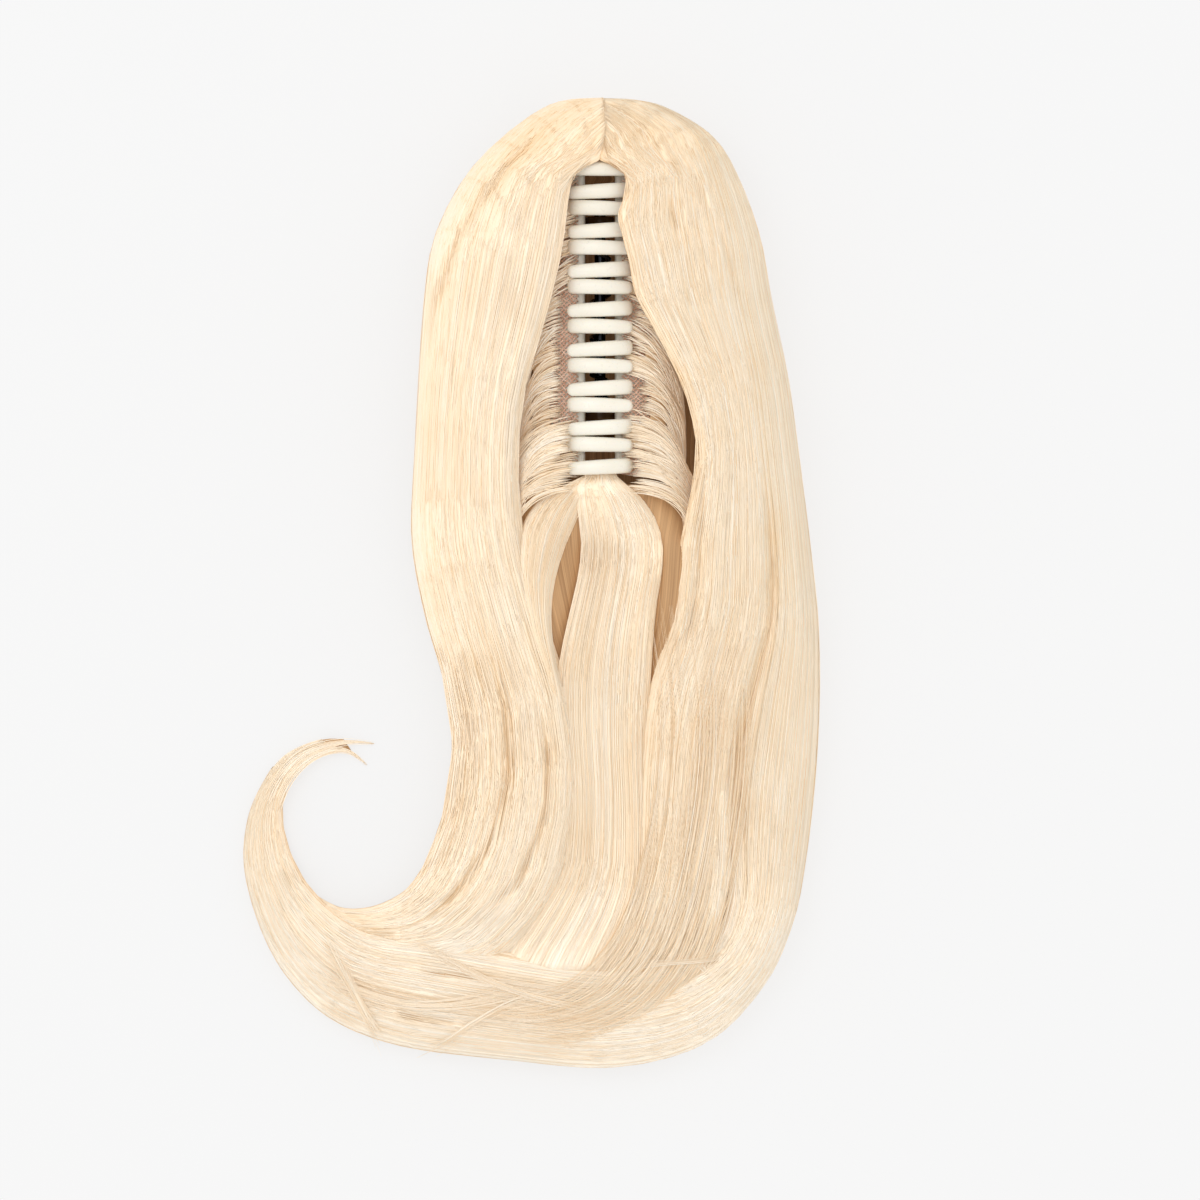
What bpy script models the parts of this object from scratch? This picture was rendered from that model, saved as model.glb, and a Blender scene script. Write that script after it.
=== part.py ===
"""Claw-clip ponytail hairpiece, lying on its back with the claw's teeth up.

The claw's hinge axis runs along Y. +Y points to the crown, +X to the right and +Z up.
The origin is the middle of the claw, on the surface that the hair lies on.
Sizes are named in millimetres and turned into metres when a mesh is made.
"""
import math

import bmesh
import bpy
import numpy as np

MM = 0.001
GAP = 0.3
NEEDLE = 0.006
FLAT_ANGLE = math.radians(1.0)

# Claw: angles are measured about the hinge from straight up, radii from the hinge axis.
HINGE_HEIGHT = 26.0
WALL_THICKNESS = 2.4
TOOTH_COUNT = 8
TOOTH_PITCH = 13.7
FIRST_LEFT_TOOTH = 51.9
RIGHT_TOOTH_OFFSET = -7.85
TOOTH_WIDTH = 5.3
TOOTH_THICKNESS = 4.0
LEFT_TOOTH_SLOPE = 0.25
RIGHT_TOOTH_SLOPE = 0.55
TOOTH_BEVEL = 1.22
PIN_RADIUS = 2.0
PIN_HALF_LENGTH = 44.5
PIN_HEAD_RADIUS = 3.2
PIN_HEAD_LENGTH = 1.2
KNUCKLE_RADIUS = 5.0
KNUCKLE_LENGTH = 5.5
KNUCKLE_INNER = 31.0
KNUCKLE_OUTER = 37.0
WEB_INSET = 0.1
SPRING_RADIUS = 3.3
SPRING_WIRE = 1.6
SPRING_TURNS = 9
SPRING_HALF_LENGTH = 29.5
SPRING_POINTS_PER_TURN = 7

# Jaw wall and lever in one sheet: angle, radius, half length along the hinge.
JAW_ROWS = (
    (13.0, 28.3, 54.0),
    (26.0, 28.5, 55.0),
    (40.0, 28.0, 54.5),
    (54.0, 25.5, 52.0),
    (68.0, 21.0, 48.0),
    (82.0, 15.0, 45.0),
    (98.0, 9.8, 43.5),
    (120.0, 7.6, 42.0),
    (138.0, 9.8, 31.0),
    (143.0, 14.5, 21.0),
    (143.0, 19.5, 18.0),
)
# The first rows are the wall, the rest the lever.
WALL_ROWS = 8

# Web between a knuckle and the wall, as a quadrilateral: angle, radius.
WEB_ROWS = ((88.0, 3.6), (118.0, 3.6), (118.0, 8.0), (88.0, 11.5))

# Tooth path: angle towards the jaw's own side, radius, width share, thickness share.
TOOTH_ROWS = (
    (17.5, 27.8, 1.00, 1.00),
    (17.6, 31.0, 1.00, 1.00),
    (15.2, 33.2, 1.00, 1.00),
    (7.5, 34.1, 1.00, 0.98),
    (-4.0, 34.0, 0.96, 0.95),
    (-16.6, 34.0, 0.83, 0.86),
    (-18.6, 34.0, 0.58, 0.70),
    (-19.4, 33.9, 0.26, 0.40),
)

# Net strip: rows of angles, a threaded row and a pierced row in turn.
NET_THICKNESS = 1.2
NET_CLEARANCE = 0.45
NET_ANGLES = (14.5, 26.0, 29.0, 41.0, 44.0, 56.0, 59.0)
NET_PIERCED_ROWS = (2, 4)
NET_HALF_LENGTH = 54.2
NET_SLOT = 6.7
NET_THREAD = 1.4

# Hollow in the hair where the jaws swing: angle, radius.
HOLLOW_ROWS = (
    (0.0, 36.75),
    (16.0, 36.75),
    (32.0, 36.75),
    (46.0, 36.6),
    (64.0, 34.0),
    (78.0, 31.0),
    (92.0, 26.5),
    (108.0, 21.5),
)
HOLLOW_HALF_LENGTH = 57.2
HOLLOW_FOOT = 19.5

# Lips of the hair over the claw's mouth: y, left x, right x.
LIP_ROWS = (
    (56.4, -9.4, 9.0),
    (16.0, -9.6, 10.0),
    (2.0, -20.0, 14.0),
    (-9.0, -25.0, 20.5),
    (-28.0, -27.5, 29.0),
    (-45.0, -27.5, 33.0),
    (-57.0, -26.5, 33.0),
)
LIP_FLOOR = 44.0

# Dark pockets beside the centre lock, from the claw's end down the tail:
# x, y, half width at the surface, height of the floor.
LEFT_POCKET = (
    (-20.0, -56.0, 7.0, 36.0),
    (-18.5, -70.0, 5.5, 36.0),
    (-16.0, -85.0, 3.8, 33.0),
    (-14.5, -100.0, 3.0, 31.0),
    (-13.5, -113.0, 2.2, 32.0),
    (-12.5, -124.0, 0.8, 36.0),
)
RIGHT_POCKET = (
    (20.0, -56.0, 8.0, 36.0),
    (23.5, -70.0, 5.0, 36.0),
    (25.0, -84.0, 3.2, 33.0),
    (23.5, -98.0, 2.4, 33.0),
    (20.0, -113.0, 0.9, 37.0),
)
POCKET_TOP = 75.0
POCKET_FLOOR_SHARE = 0.5
POCKET_TOP_SHARE = 1.6

# Hair from the crown to the tip of the curl, a row for each cross-section:
# left x, left y, right x, right y, crest height, depth of the valley between the halves.
HAIR_ROWS = (
    (-9.0, 78.5, 12.0, 78.5, 26.0, 0.0),
    (-19.5, 75.5, 23.0, 75.5, 44.0, 0.0),
    (-34.0, 65.0, 39.5, 65.0, 60.0, 0.5),
    (-47.5, 50.5, 48.5, 50.5, 66.5, 1.0),
    (-58.0, 29.5, 56.0, 29.5, 68.5, 2.0),
    (-61.5, 8.0, 60.0, 8.0, 68.0, 3.0),
    (-63.5, -20.0, 66.0, -20.0, 68.0, 8.0),
    (-65.0, -48.5, 70.0, -48.5, 65.0, 13.0),
    (-66.0, -77.0, 73.5, -77.0, 59.0, 15.0),
    (-61.0, -105.0, 76.5, -105.0, 51.0, 12.0),
    (-53.0, -133.5, 77.0, -133.5, 44.0, 9.0),
    (-52.5, -162.0, 75.5, -162.0, 39.0, 7.0),
    (-59.5, -186.5, 72.0, -192.0, 34.0, 5.0),
    (-66.0, -198.0, 67.5, -213.0, 31.0, 3.0),
    (-71.0, -202.5, 57.5, -234.5, 28.0, 1.0),
    (-77.0, -205.5, 37.0, -254.5, 26.0, 0.0),
    (-82.0, -207.0, 4.5, -263.0, 24.0, 0.0),
    (-88.0, -207.5, -35.5, -260.0, 22.0, 0.0),
    (-93.5, -206.5, -70.0, -255.5, 19.0, 0.0),
    (-100.0, -203.0, -94.0, -246.5, 17.0, 0.0),
    (-105.0, -198.0, -109.5, -232.5, 15.0, 0.0),
    (-109.5, -190.0, -119.5, -215.0, 12.0, 0.0),
    (-112.0, -179.5, -125.5, -193.5, 10.0, 0.0),
    (-112.0, -169.0, -124.5, -176.0, 8.0, 0.0),
    (-108.0, -159.0, -119.0, -162.5, 6.5, 0.0),
    (-101.0, -153.5, -111.0, -152.5, 5.0, 0.0),
    (-92.0, -152.0, -97.0, -147.0, 3.6, 0.0),
    (-83.0, -151.0, -83.5, -148.5, 2.2, 0.0),
)
# Places across a cross-section, 0 at its left edge and 1 at its right edge.
HAIR_PLACES = (0.0, 0.03, 0.11, 0.22, 0.34, 0.46, 0.58, 0.68, 0.79, 0.89, 0.97, 1.0)
HAIR_SQUARENESS = 2.5
WIDEST_HEIGHT = 0.28
FOOT_INSET = 0.04
VALLEY_PLACE = 0.46
VALLEY_WIDTH = 0.12

# Locks: name, first row, place at the root, place in the tail, last row, width share.
LOCKS = (
    ("left_1", 0.9, 0.48, 0.04, 19.0, 0.085),
    ("left_2", 1.1, 0.48, 0.105, 21.0, 0.085),
    ("left_3", 1.4, 0.47, 0.17, 17.5, 0.085),
    ("left_4", 1.8, 0.46, 0.235, 19.5, 0.085),
    ("left_5", 2.6, 0.42, 0.30, 16.0, 0.080),
    ("right_1", 0.8, 0.52, 0.96, 22.5, 0.085),
    ("right_2", 1.0, 0.52, 0.895, 20.0, 0.085),
    ("right_3", 1.3, 0.53, 0.83, 23.5, 0.085),
    ("right_4", 1.7, 0.54, 0.765, 20.5, 0.085),
    ("right_5", 2.4, 0.57, 0.695, 17.5, 0.080),
)
CENTRE_LOCKS = (
    ("centre_1", 7.4, 0.445, 0.40, 14.5, 0.060),
    ("centre_2", 7.4, 0.47, 0.465, 15.5, 0.065),
    ("centre_3", 7.4, 0.495, 0.53, 14.0, 0.060),
)
LOCK_SPREAD = 1.1
LOCK_THICKNESS = 0.17
LOCK_LIFT = 0.25
LOCK_SIDES = 5
LOCK_STEP = 1.6
LOCK_FEWEST_STEPS = 6
# Shares of a lock's length over which its root and its tip narrow, and how narrow they end.
LOCK_ROOT_SHARE = 0.12
LOCK_TIP_SHARE = 0.25
LOCK_END_SHARE = 0.30
LOCK_TAPER_CURVE = 0.7
LOCK_SINK = 0.30
LOCK_STOUTEST = 0.9

# Where the hair is divided into its layers: y, and x of the two seams beside the centre lock.
BACK_LAYER_HEIGHT = 5.0
SEAM_ROWS = (
    (-56.9, -26.0, 31.0),
    (-73.0, -26.0, 27.0),
    (-91.0, -23.5, 27.3),
    (-109.0, -18.0, 24.0),
    (-129.0, -12.5, 19.0),
    (-145.0, -9.0, 16.5),
    (-160.0, -7.0, 15.0),
    (-175.0, -7.8, 14.5),
    (-190.0, -11.7, 14.5),
    (-205.0, -17.0, 15.0),
)
TAIL_LEFT_Y = -189.0
TAIL_RIGHT_Y = -214.0
CURL_RIGHT_X = -75.0
REACH = 150.0

HAIR_COLOUR = (0.90, 0.75, 0.55, 1.0)
CLAW_COLOUR = (0.95, 0.91, 0.80, 1.0)
NET_COLOUR = (0.76, 0.50, 0.37, 1.0)
STEEL_COLOUR = (0.10, 0.10, 0.11, 1.0)


def clear_scene():
    """Removes what a new file holds."""
    for old in list(bpy.data.objects):
        bpy.data.objects.remove(old)


def finish(name, colour, roughness, metallic=0.0):
    """A Principled BSDF material."""
    material = bpy.data.materials.new(name)
    material.use_nodes = True
    shader = material.node_tree.nodes["Principled BSDF"]
    shader.inputs["Base Color"].default_value = colour
    shader.inputs["Roughness"].default_value = roughness
    shader.inputs["Metallic"].default_value = metallic
    return material


def collection(name):
    """A collection in the scene."""
    group = bpy.data.collections.new(name)
    bpy.context.scene.collection.children.link(group)
    return group


def merge_flat_faces(thing):
    """Joins neighbouring faces that lie in one plane, on the plastic and the net."""
    work = bmesh.new()
    work.from_mesh(thing.data)
    bmesh.ops.dissolve_limit(work, angle_limit=FLAT_ANGLE, verts=work.verts, edges=work.edges)
    work.to_mesh(thing.data)
    work.free()


def tidy_mesh(mesh):
    """Splits the faces into triangles, drops needle ones and turns all of them outwards."""
    work = bmesh.new()
    work.from_mesh(mesh)
    bmesh.ops.triangulate(work, faces=work.faces)
    bmesh.ops.dissolve_degenerate(work, dist=NEEDLE * MM, edges=work.edges)
    bmesh.ops.triangulate(work, faces=work.faces)
    bmesh.ops.recalc_face_normals(work, faces=work.faces)
    work.to_mesh(mesh)
    work.free()


def object_from(name, vertices, faces, group):
    """An object from vertices in millimetres, its faces turned outwards."""
    mesh = bpy.data.meshes.new(name)
    scaled = [tuple(float(value) * MM for value in vertex) for vertex in vertices]
    mesh.from_pydata(scaled, [], [tuple(int(index) for index in face) for face in faces])
    tidy_mesh(mesh)
    thing = bpy.data.objects.new(name, mesh)
    group.objects.link(thing)
    return thing


def grid_faces(rows, columns, closed):
    """Quads between neighbouring rows of a grid, closed round each row or open."""
    last = columns if closed else columns - 1
    faces = []
    for row in range(rows - 1):
        for column in range(last):
            after = (column + 1) % columns
            here = row * columns
            there = here + columns
            faces.append((here + column, here + after, there + after, there + column))
    return faces


def loft(name, rings, group):
    """A closed solid through a stack of rings, an array of rows x points x 3."""
    count, sides = rings.shape[:2]
    faces = grid_faces(count, sides, True)
    faces.append(tuple(range(sides)))
    faces.append(tuple(range((count - 1) * sides, count * sides)))
    return object_from(name, rings.reshape(-1, 3), faces, group)


def prism(name, outline, low, high, group):
    """An upright solid on a plan outline, from one height to another."""
    plan = np.array(outline, float)
    floor = np.column_stack([plan, np.full(len(plan), low)])
    roof = np.column_stack([plan, np.full(len(plan), high)])
    return loft(name, np.stack([floor, roof]), group)


def evaluated(thing):
    """Bakes an object's modifiers into its mesh."""
    shown = thing.evaluated_get(bpy.context.evaluated_depsgraph_get())
    mesh = bpy.data.meshes.new_from_object(shown)
    thing.modifiers.clear()
    thing.data = mesh
    tidy_mesh(mesh)
    return thing


def combine(target, others, operation):
    """Joins, cuts or meets one object with others, which are used up."""
    for other in others:
        cut = target.modifiers.new("cut", "BOOLEAN")
        cut.operation = operation
        cut.object = other
    bpy.context.view_layer.update()
    evaluated(target)
    for other in others:
        bpy.data.objects.remove(other)
    return target


def copy_of(thing, name, group):
    """A copy with its own mesh."""
    double = bpy.data.objects.new(name, thing.data.copy())
    group.objects.link(double)
    return double


def dress(thing, name, material, smooth_degrees=40.0):
    """Names a finished piece, gives it its material and shades its round faces smooth."""
    thing.name = name
    thing.data.name = name
    thing.data.materials.clear()
    thing.data.materials.append(material)
    thing.data.shade_smooth()
    thing.data.set_sharp_from_angle(angle=math.radians(smooth_degrees))
    return thing


def smooth_table(table, places):
    """Catmull-Rom curve through a table's rows, read at row numbers with fractions."""
    rows = np.array(table, float)
    places = np.clip(np.asarray(places, float), 0.0, len(rows) - 1.0)
    base = np.minimum(places.astype(int), len(rows) - 2)
    share = (places - base)[..., None]
    before = rows[np.maximum(base - 1, 0)]
    start = rows[base]
    end = rows[base + 1]
    after = rows[np.minimum(base + 2, len(rows) - 1)]
    slope_in = (end - before) / 2.0
    slope_out = (after - start) / 2.0
    cubic = 2.0 * start - 2.0 * end + slope_in + slope_out
    square = -3.0 * start + 3.0 * end - 2.0 * slope_in - slope_out
    return ((cubic * share + square) * share + slope_in) * share + start


def polar(angle, radius, side):
    """x and z of a point at an angle from straight up about the hinge; side is -1 or 1."""
    turn = np.radians(angle)
    return side * radius * np.sin(turn), HINGE_HEIGHT + radius * np.cos(turn)


def jaw_profile(angles, offset, side):
    """x and z of the jaw's wall at some angles, moved outwards from its middle."""
    table = np.array(JAW_ROWS[:WALL_ROWS])
    fine = smooth_table(table, np.linspace(0.0, len(table) - 1.0, 141))
    radius = np.interp(angles, fine[:, 0], fine[:, 1])
    nudge = 0.5
    wider = np.interp(angles + nudge, fine[:, 0], fine[:, 1])
    closer = np.interp(angles - nudge, fine[:, 0], fine[:, 1])
    x, z = polar(angles, radius, side)
    x_after, z_after = polar(angles + nudge, wider, side)
    x_before, z_before = polar(angles - nudge, closer, side)
    run_x = x_after - x_before
    run_z = z_after - z_before
    length = np.hypot(run_x, run_z)
    return x - offset * side * run_z / length, z + offset * side * run_x / length


def jaw_wall(side, group):
    """The jaw's curved wall and lever: an open sheet along the profile, then Solidify."""
    rows = smooth_table(JAW_ROWS, np.linspace(0.0, len(JAW_ROWS) - 1.0, 19))
    x, z = polar(rows[:, 0], rows[:, 1], side)
    across = np.linspace(-1.0, 1.0, 4)
    sheet = np.empty((len(rows), len(across), 3))
    sheet[..., 0] = x[:, None]
    sheet[..., 1] = rows[:, 2, None] * across
    sheet[..., 2] = z[:, None]
    faces = grid_faces(len(rows), len(across), False)
    wall = object_from("wall", sheet.reshape(-1, 3), faces, group)
    thick = wall.modifiers.new("thickness", "SOLIDIFY")
    thick.thickness = WALL_THICKNESS * MM
    thick.offset = 0.0
    return evaluated(wall)


def tooth(side, middle, slope, group):
    """One tooth: a rounded bar that rises from the rim and hooks over the mouth."""
    rows = np.array(TOOTH_ROWS)
    x, z = polar(rows[:, 0], rows[:, 1], side)
    y = middle + slope * rows[:, 0] / TOOTH_ROWS[0][0]
    run = np.gradient(np.column_stack([x, z]), axis=0)
    run /= np.linalg.norm(run, axis=1, keepdims=True)
    across = rows[:, 2] * TOOTH_WIDTH / 2.0
    deep = rows[:, 3] * TOOTH_THICKNESS / 2.0
    turn = np.radians(22.5 + 45.0 * np.arange(8))
    flat = np.clip(TOOTH_BEVEL * np.cos(turn), -1.0, 1.0)
    rise = np.clip(TOOTH_BEVEL * np.sin(turn), -1.0, 1.0)
    rings = np.empty((len(rows), 8, 3))
    rings[..., 0] = x[:, None] - np.outer(deep * run[:, 1], rise)
    rings[..., 1] = y[:, None] + np.outer(across, flat)
    rings[..., 2] = z[:, None] + np.outer(deep * run[:, 0], rise)
    return loft("tooth", rings, group)


def cylinder(name, radius, middle, half_length, sides, group):
    """A round bar along the hinge axis."""
    turn = np.linspace(0.0, 2.0 * math.pi, sides, endpoint=False)
    ring = np.column_stack([radius * np.cos(turn), np.zeros(sides), radius * np.sin(turn)])
    ring[:, 2] += HINGE_HEIGHT
    ends = []
    for end in (-half_length, half_length):
        moved = ring.copy()
        moved[:, 1] = middle + end
        ends.append(moved)
    return loft(name, np.stack(ends), group)


def knuckle(side, middle, group):
    """A barrel round the pin and the web that carries it on the jaw's wall."""
    half = KNUCKLE_LENGTH / 2.0
    barrel = cylinder("barrel", KNUCKLE_RADIUS, middle, half, 14, group)
    corners = np.array(WEB_ROWS)
    x, z = polar(corners[:, 0], corners[:, 1], side)
    rings = np.empty((2, len(corners), 3))
    rings[..., 0] = x
    rings[..., 2] = z
    rings[0, :, 1] = middle - half + WEB_INSET
    rings[1, :, 1] = middle + half - WEB_INSET
    return [barrel, loft("web", rings, group)]


def jaw(side, first_tooth, slope, knuckle_middles, group):
    """One half of the claw: wall, lever, eight teeth and two bored knuckles in one solid."""
    body = jaw_wall(side, group)
    parts = []
    for number in range(TOOTH_COUNT):
        parts.append(tooth(side, first_tooth - number * TOOTH_PITCH, slope, group))
    for middle in knuckle_middles:
        parts.extend(knuckle(side, middle, group))
    combine(body, parts, "UNION")
    bore = cylinder("bore", PIN_RADIUS + GAP, 0.0, PIN_HALF_LENGTH + 5.0, 14, group)
    combine(body, [bore], "DIFFERENCE")
    merge_flat_faces(body)
    tidy_mesh(body.data)
    return body


def hang_on_hinge(thing):
    """Puts an object's origin on the hinge axis without moving its mesh."""
    lift = HINGE_HEIGHT * MM
    for vertex in thing.data.vertices:
        vertex.co.z -= lift
    thing.location = (0.0, 0.0, lift)


def net_columns(first_tooth):
    """Edges along the net strip, and for each column whether it is a slot or a mesh hole."""
    half_slot = NET_SLOT / 2.0
    edges = {NET_HALF_LENGTH, -NET_HALF_LENGTH}
    for number in range(-1, TOOTH_COUNT + 1):
        middle = first_tooth - number * TOOTH_PITCH
        next_slot = middle - TOOTH_PITCH + half_slot
        for edge in (middle + half_slot, middle - half_slot,
                     middle - half_slot - NET_THREAD, next_slot + NET_THREAD):
            if abs(edge) < NET_HALF_LENGTH - 0.4:
                edges.add(round(edge, 4))
    lines = np.array(sorted(edges, reverse=True))
    centres = (lines[1:] + lines[:-1]) / 2.0
    phase = (first_tooth - centres + half_slot) % TOOTH_PITCH
    slots = phase < NET_SLOT
    holes = (phase > NET_SLOT + NET_THREAD) & (phase < TOOTH_PITCH - NET_THREAD)
    return lines, slots, holes


def net_strip(name, side, first_tooth, group):
    """The net base on a jaw: a strip pierced between its threads, notched for the teeth."""
    lines, slots, holes = net_columns(first_tooth)
    angles = np.array(NET_ANGLES)
    offset = WALL_THICKNESS / 2.0 + NET_CLEARANCE + NET_THICKNESS / 2.0
    x, z = jaw_profile(angles, offset, side)
    sheet = np.empty((len(angles), len(lines), 3))
    sheet[..., 0] = x[:, None]
    sheet[..., 1] = lines
    sheet[..., 2] = z[:, None]
    faces = []
    columns = len(lines)
    for row in range(len(angles) - 1):
        for column in range(columns - 1):
            notched = row == 0 and slots[column]
            pierced = row in NET_PIERCED_ROWS and (slots[column] or holes[column])
            if not notched and not pierced:
                here = row * columns + column
                faces.append((here, here + 1, here + columns + 1, here + columns))
    strip = object_from(name, sheet.reshape(-1, 3), faces, group)
    work = bmesh.new()
    work.from_mesh(strip.data)
    loose = [vertex for vertex in work.verts if not vertex.link_faces]
    bmesh.ops.delete(work, geom=loose, context="VERTS")
    work.to_mesh(strip.data)
    work.free()
    merge_flat_faces(strip)
    thick = strip.modifiers.new("thickness", "SOLIDIFY")
    thick.thickness = NET_THICKNESS * MM
    thick.offset = 0.0
    return strip


def hinge_pin(group):
    """The pin: a headed profile turned by a Screw modifier and laid along the hinge."""
    shoulder = PIN_HALF_LENGTH - PIN_HEAD_LENGTH
    profile = (
        (0.0, PIN_HALF_LENGTH),
        (PIN_HEAD_RADIUS, PIN_HALF_LENGTH),
        (PIN_HEAD_RADIUS, shoulder),
        (PIN_RADIUS, shoulder),
        (PIN_RADIUS, -shoulder),
        (PIN_HEAD_RADIUS, -shoulder),
        (PIN_HEAD_RADIUS, -PIN_HALF_LENGTH),
        (0.0, -PIN_HALF_LENGTH),
    )
    mesh = bpy.data.meshes.new("hinge_pin")
    vertices = [(radius * MM, 0.0, along * MM) for radius, along in profile]
    mesh.from_pydata(vertices, [(row, row + 1) for row in range(len(profile) - 1)], [])
    pin = bpy.data.objects.new("hinge_pin", mesh)
    group.objects.link(pin)
    turned = pin.modifiers.new("turned", "SCREW")
    turned.steps = 14
    turned.render_steps = 14
    turned.use_merge_vertices = True
    turned.merge_threshold = 0.00001
    evaluated(pin)
    pin.rotation_euler = (-math.pi / 2.0, 0.0, 0.0)
    pin.location = (0.0, 0.0, HINGE_HEIGHT * MM)
    return pin


def hinge_spring(group):
    """The torsion spring: a coil of wire round the pin."""
    count = SPRING_TURNS * SPRING_POINTS_PER_TURN + 1
    turn = np.linspace(0.0, 2.0 * math.pi * SPRING_TURNS, count)
    reach = SPRING_HALF_LENGTH - SPRING_WIRE
    along = np.linspace(-reach, reach, count)
    curve = bpy.data.curves.new("hinge_spring", "CURVE")
    curve.dimensions = "3D"
    curve.bevel_depth = SPRING_WIRE / 2.0 * MM
    curve.bevel_resolution = 1
    curve.use_fill_caps = True
    spline = curve.splines.new("POLY")
    spline.points.add(count - 1)
    for number, point in enumerate(spline.points):
        x = SPRING_RADIUS * math.cos(turn[number])
        z = HINGE_HEIGHT + SPRING_RADIUS * math.sin(turn[number])
        point.co = (x * MM, along[number] * MM, z * MM, 1.0)
    wire = bpy.data.objects.new("spring_wire", curve)
    group.objects.link(wire)
    bpy.context.view_layer.update()
    shown = wire.evaluated_get(bpy.context.evaluated_depsgraph_get())
    mesh = bpy.data.meshes.new_from_object(shown)
    work = bmesh.new()
    work.from_mesh(mesh)
    bmesh.ops.remove_doubles(work, verts=work.verts, dist=0.00001)
    bmesh.ops.recalc_face_normals(work, faces=work.faces)
    work.to_mesh(mesh)
    work.free()
    coil = bpy.data.objects.new("hinge_spring", mesh)
    coil.matrix_world = wire.matrix_world
    group.objects.link(coil)
    bpy.data.objects.remove(wire)
    return coil


def hair_surface(rows, places):
    """Points on the hair's outer surface at row numbers and places across."""
    section = smooth_table(HAIR_ROWS, rows)
    left = section[..., 0:2]
    right = section[..., 2:4]
    crest = section[..., 4]
    valley = section[..., 5]
    flat = left + (right - left) * np.asarray(places)[..., None]
    edge = np.abs(2.0 * places - 1.0) ** HAIR_SQUARENESS
    dome = np.maximum(1.0 - edge, 0.0) ** (1.0 / HAIR_SQUARENESS)
    widest = WIDEST_HEIGHT * crest
    dip = valley * np.exp(-((places - VALLEY_PLACE) / VALLEY_WIDTH) ** 2)
    height = widest + (crest - widest) * dome - dip
    return np.concatenate([flat, height[..., None]], axis=-1)


def hair_core(group):
    """The hair's core: a domed cross-section on a flat foot, lofted from crown to curl."""
    rows = np.arange(len(HAIR_ROWS), dtype=float)
    places = np.array(HAIR_PLACES)
    across = np.broadcast_to(places, (len(rows), len(places)))
    along = np.broadcast_to(rows[:, None], across.shape)
    top = hair_surface(along, across)
    feet = hair_surface(along[:, :2], np.broadcast_to([1.0 - FOOT_INSET, FOOT_INSET], (len(rows), 2)))
    feet[..., 2] = 0.0
    return loft("core", np.concatenate([top, feet], axis=1), group)


def lock_path(first, root, place, last):
    """Row numbers and places along a lock: it leaves its root and eases to its own place."""
    count = max(int(round((last - first) / LOCK_STEP)), LOCK_FEWEST_STEPS) + 1
    rows = np.linspace(first, last, count)
    ease = np.exp(-(rows - first) / LOCK_SPREAD)
    ease = (ease - ease[-1]) / (1.0 - ease[-1])
    return rows, place + (root - place) * ease


def lock(name, first, root, place, last, width_share, group):
    """One lock: an oval carried along its path on the hair's surface, thin at both ends."""
    rows, places = lock_path(first, root, place, last)
    nudge = 0.01
    middle = hair_surface(rows, places)
    across = hair_surface(rows, places + nudge) - hair_surface(rows, places - nudge)
    across /= np.linalg.norm(across, axis=1, keepdims=True)
    run = np.gradient(middle, axis=0)
    run -= across * np.sum(run * across, axis=1, keepdims=True)
    run /= np.linalg.norm(run, axis=1, keepdims=True)
    normal = np.cross(across, run)
    normal *= np.where(normal[:, 2:3] < 0.0, -1.0, 1.0)
    section = smooth_table(HAIR_ROWS, rows)
    span = np.linalg.norm(section[:, 2:4] - section[:, 0:2], axis=1)
    share = (rows - first) / (last - first)
    grown = np.minimum(share / LOCK_ROOT_SHARE, (1.0 - share) / LOCK_TIP_SHARE)
    taper = np.clip(grown, 0.0, 1.0) ** LOCK_TAPER_CURVE
    girth = LOCK_END_SHARE + (1.0 - LOCK_END_SHARE) * taper
    wide = width_share * span * girth
    deep = LOCK_THICKNESS * section[:, 4] * girth
    deep = np.minimum(deep, wide * LOCK_STOUTEST)
    middle = middle + normal * (LOCK_LIFT * deep)[:, None] * taper[:, None]
    middle -= normal * (LOCK_SINK * deep)[:, None]
    turn = math.pi * (2.0 * np.arange(LOCK_SIDES) / LOCK_SIDES + 0.5)
    flat = np.outer(wide / 2.0, np.cos(turn))[..., None] * across[:, None, :]
    rise = np.outer(deep / 2.0, np.sin(turn))[..., None] * normal[:, None, :]
    return loft(name, middle[:, None, :] + flat + rise, group)


def claw_hollow(group):
    """The room inside the hair where the jaws swing, a prism along the hinge."""
    table = np.array(HOLLOW_ROWS)
    right_x, right_z = polar(table[:, 0], table[:, 1], 1.0)
    foot = BACK_LAYER_HEIGHT + GAP
    outline_x = np.concatenate([right_x, [HOLLOW_FOOT, -HOLLOW_FOOT], -right_x[:0:-1]])
    outline_z = np.concatenate([right_z, [foot, foot], right_z[:0:-1]])
    rings = np.empty((2, len(outline_x), 3))
    rings[..., 0] = outline_x
    rings[..., 2] = outline_z
    rings[0, :, 1] = -HOLLOW_HALF_LENGTH
    rings[1, :, 1] = HOLLOW_HALF_LENGTH
    return loft("hollow", rings, group)


def claw_mouth(group):
    """The opening between the hair's two lips, above the claw."""
    lips = np.array(LIP_ROWS)
    left = lips[:, [1, 0]]
    right = lips[::-1, [2, 0]]
    return prism("mouth", np.concatenate([left, right]), LIP_FLOOR, REACH, group)


def pocket(rows, group):
    """A cutter for one dark pocket: a wedge that is narrow at its floor, lofted along rows."""
    table = np.array(rows)
    x, y, half, floor = table.T
    rings = np.empty((len(table), 4, 3))
    low = POCKET_FLOOR_SHARE * half
    high = POCKET_TOP_SHARE * half
    roof = np.full(len(x), POCKET_TOP)
    rings[:, 0] = np.column_stack([x - low, y, floor])
    rings[:, 1] = np.column_stack([x + low, y, floor])
    rings[:, 2] = np.column_stack([x + high, y, roof])
    rings[:, 3] = np.column_stack([x - high, y, roof])
    return loft("pocket", rings, group)


def seam_lines():
    """The two seams beside the centre lock, left and right, each as x and y down the tail."""
    seams = np.array(SEAM_ROWS)
    return seams[:, [1, 0]], seams[:, [2, 0]]


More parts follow.
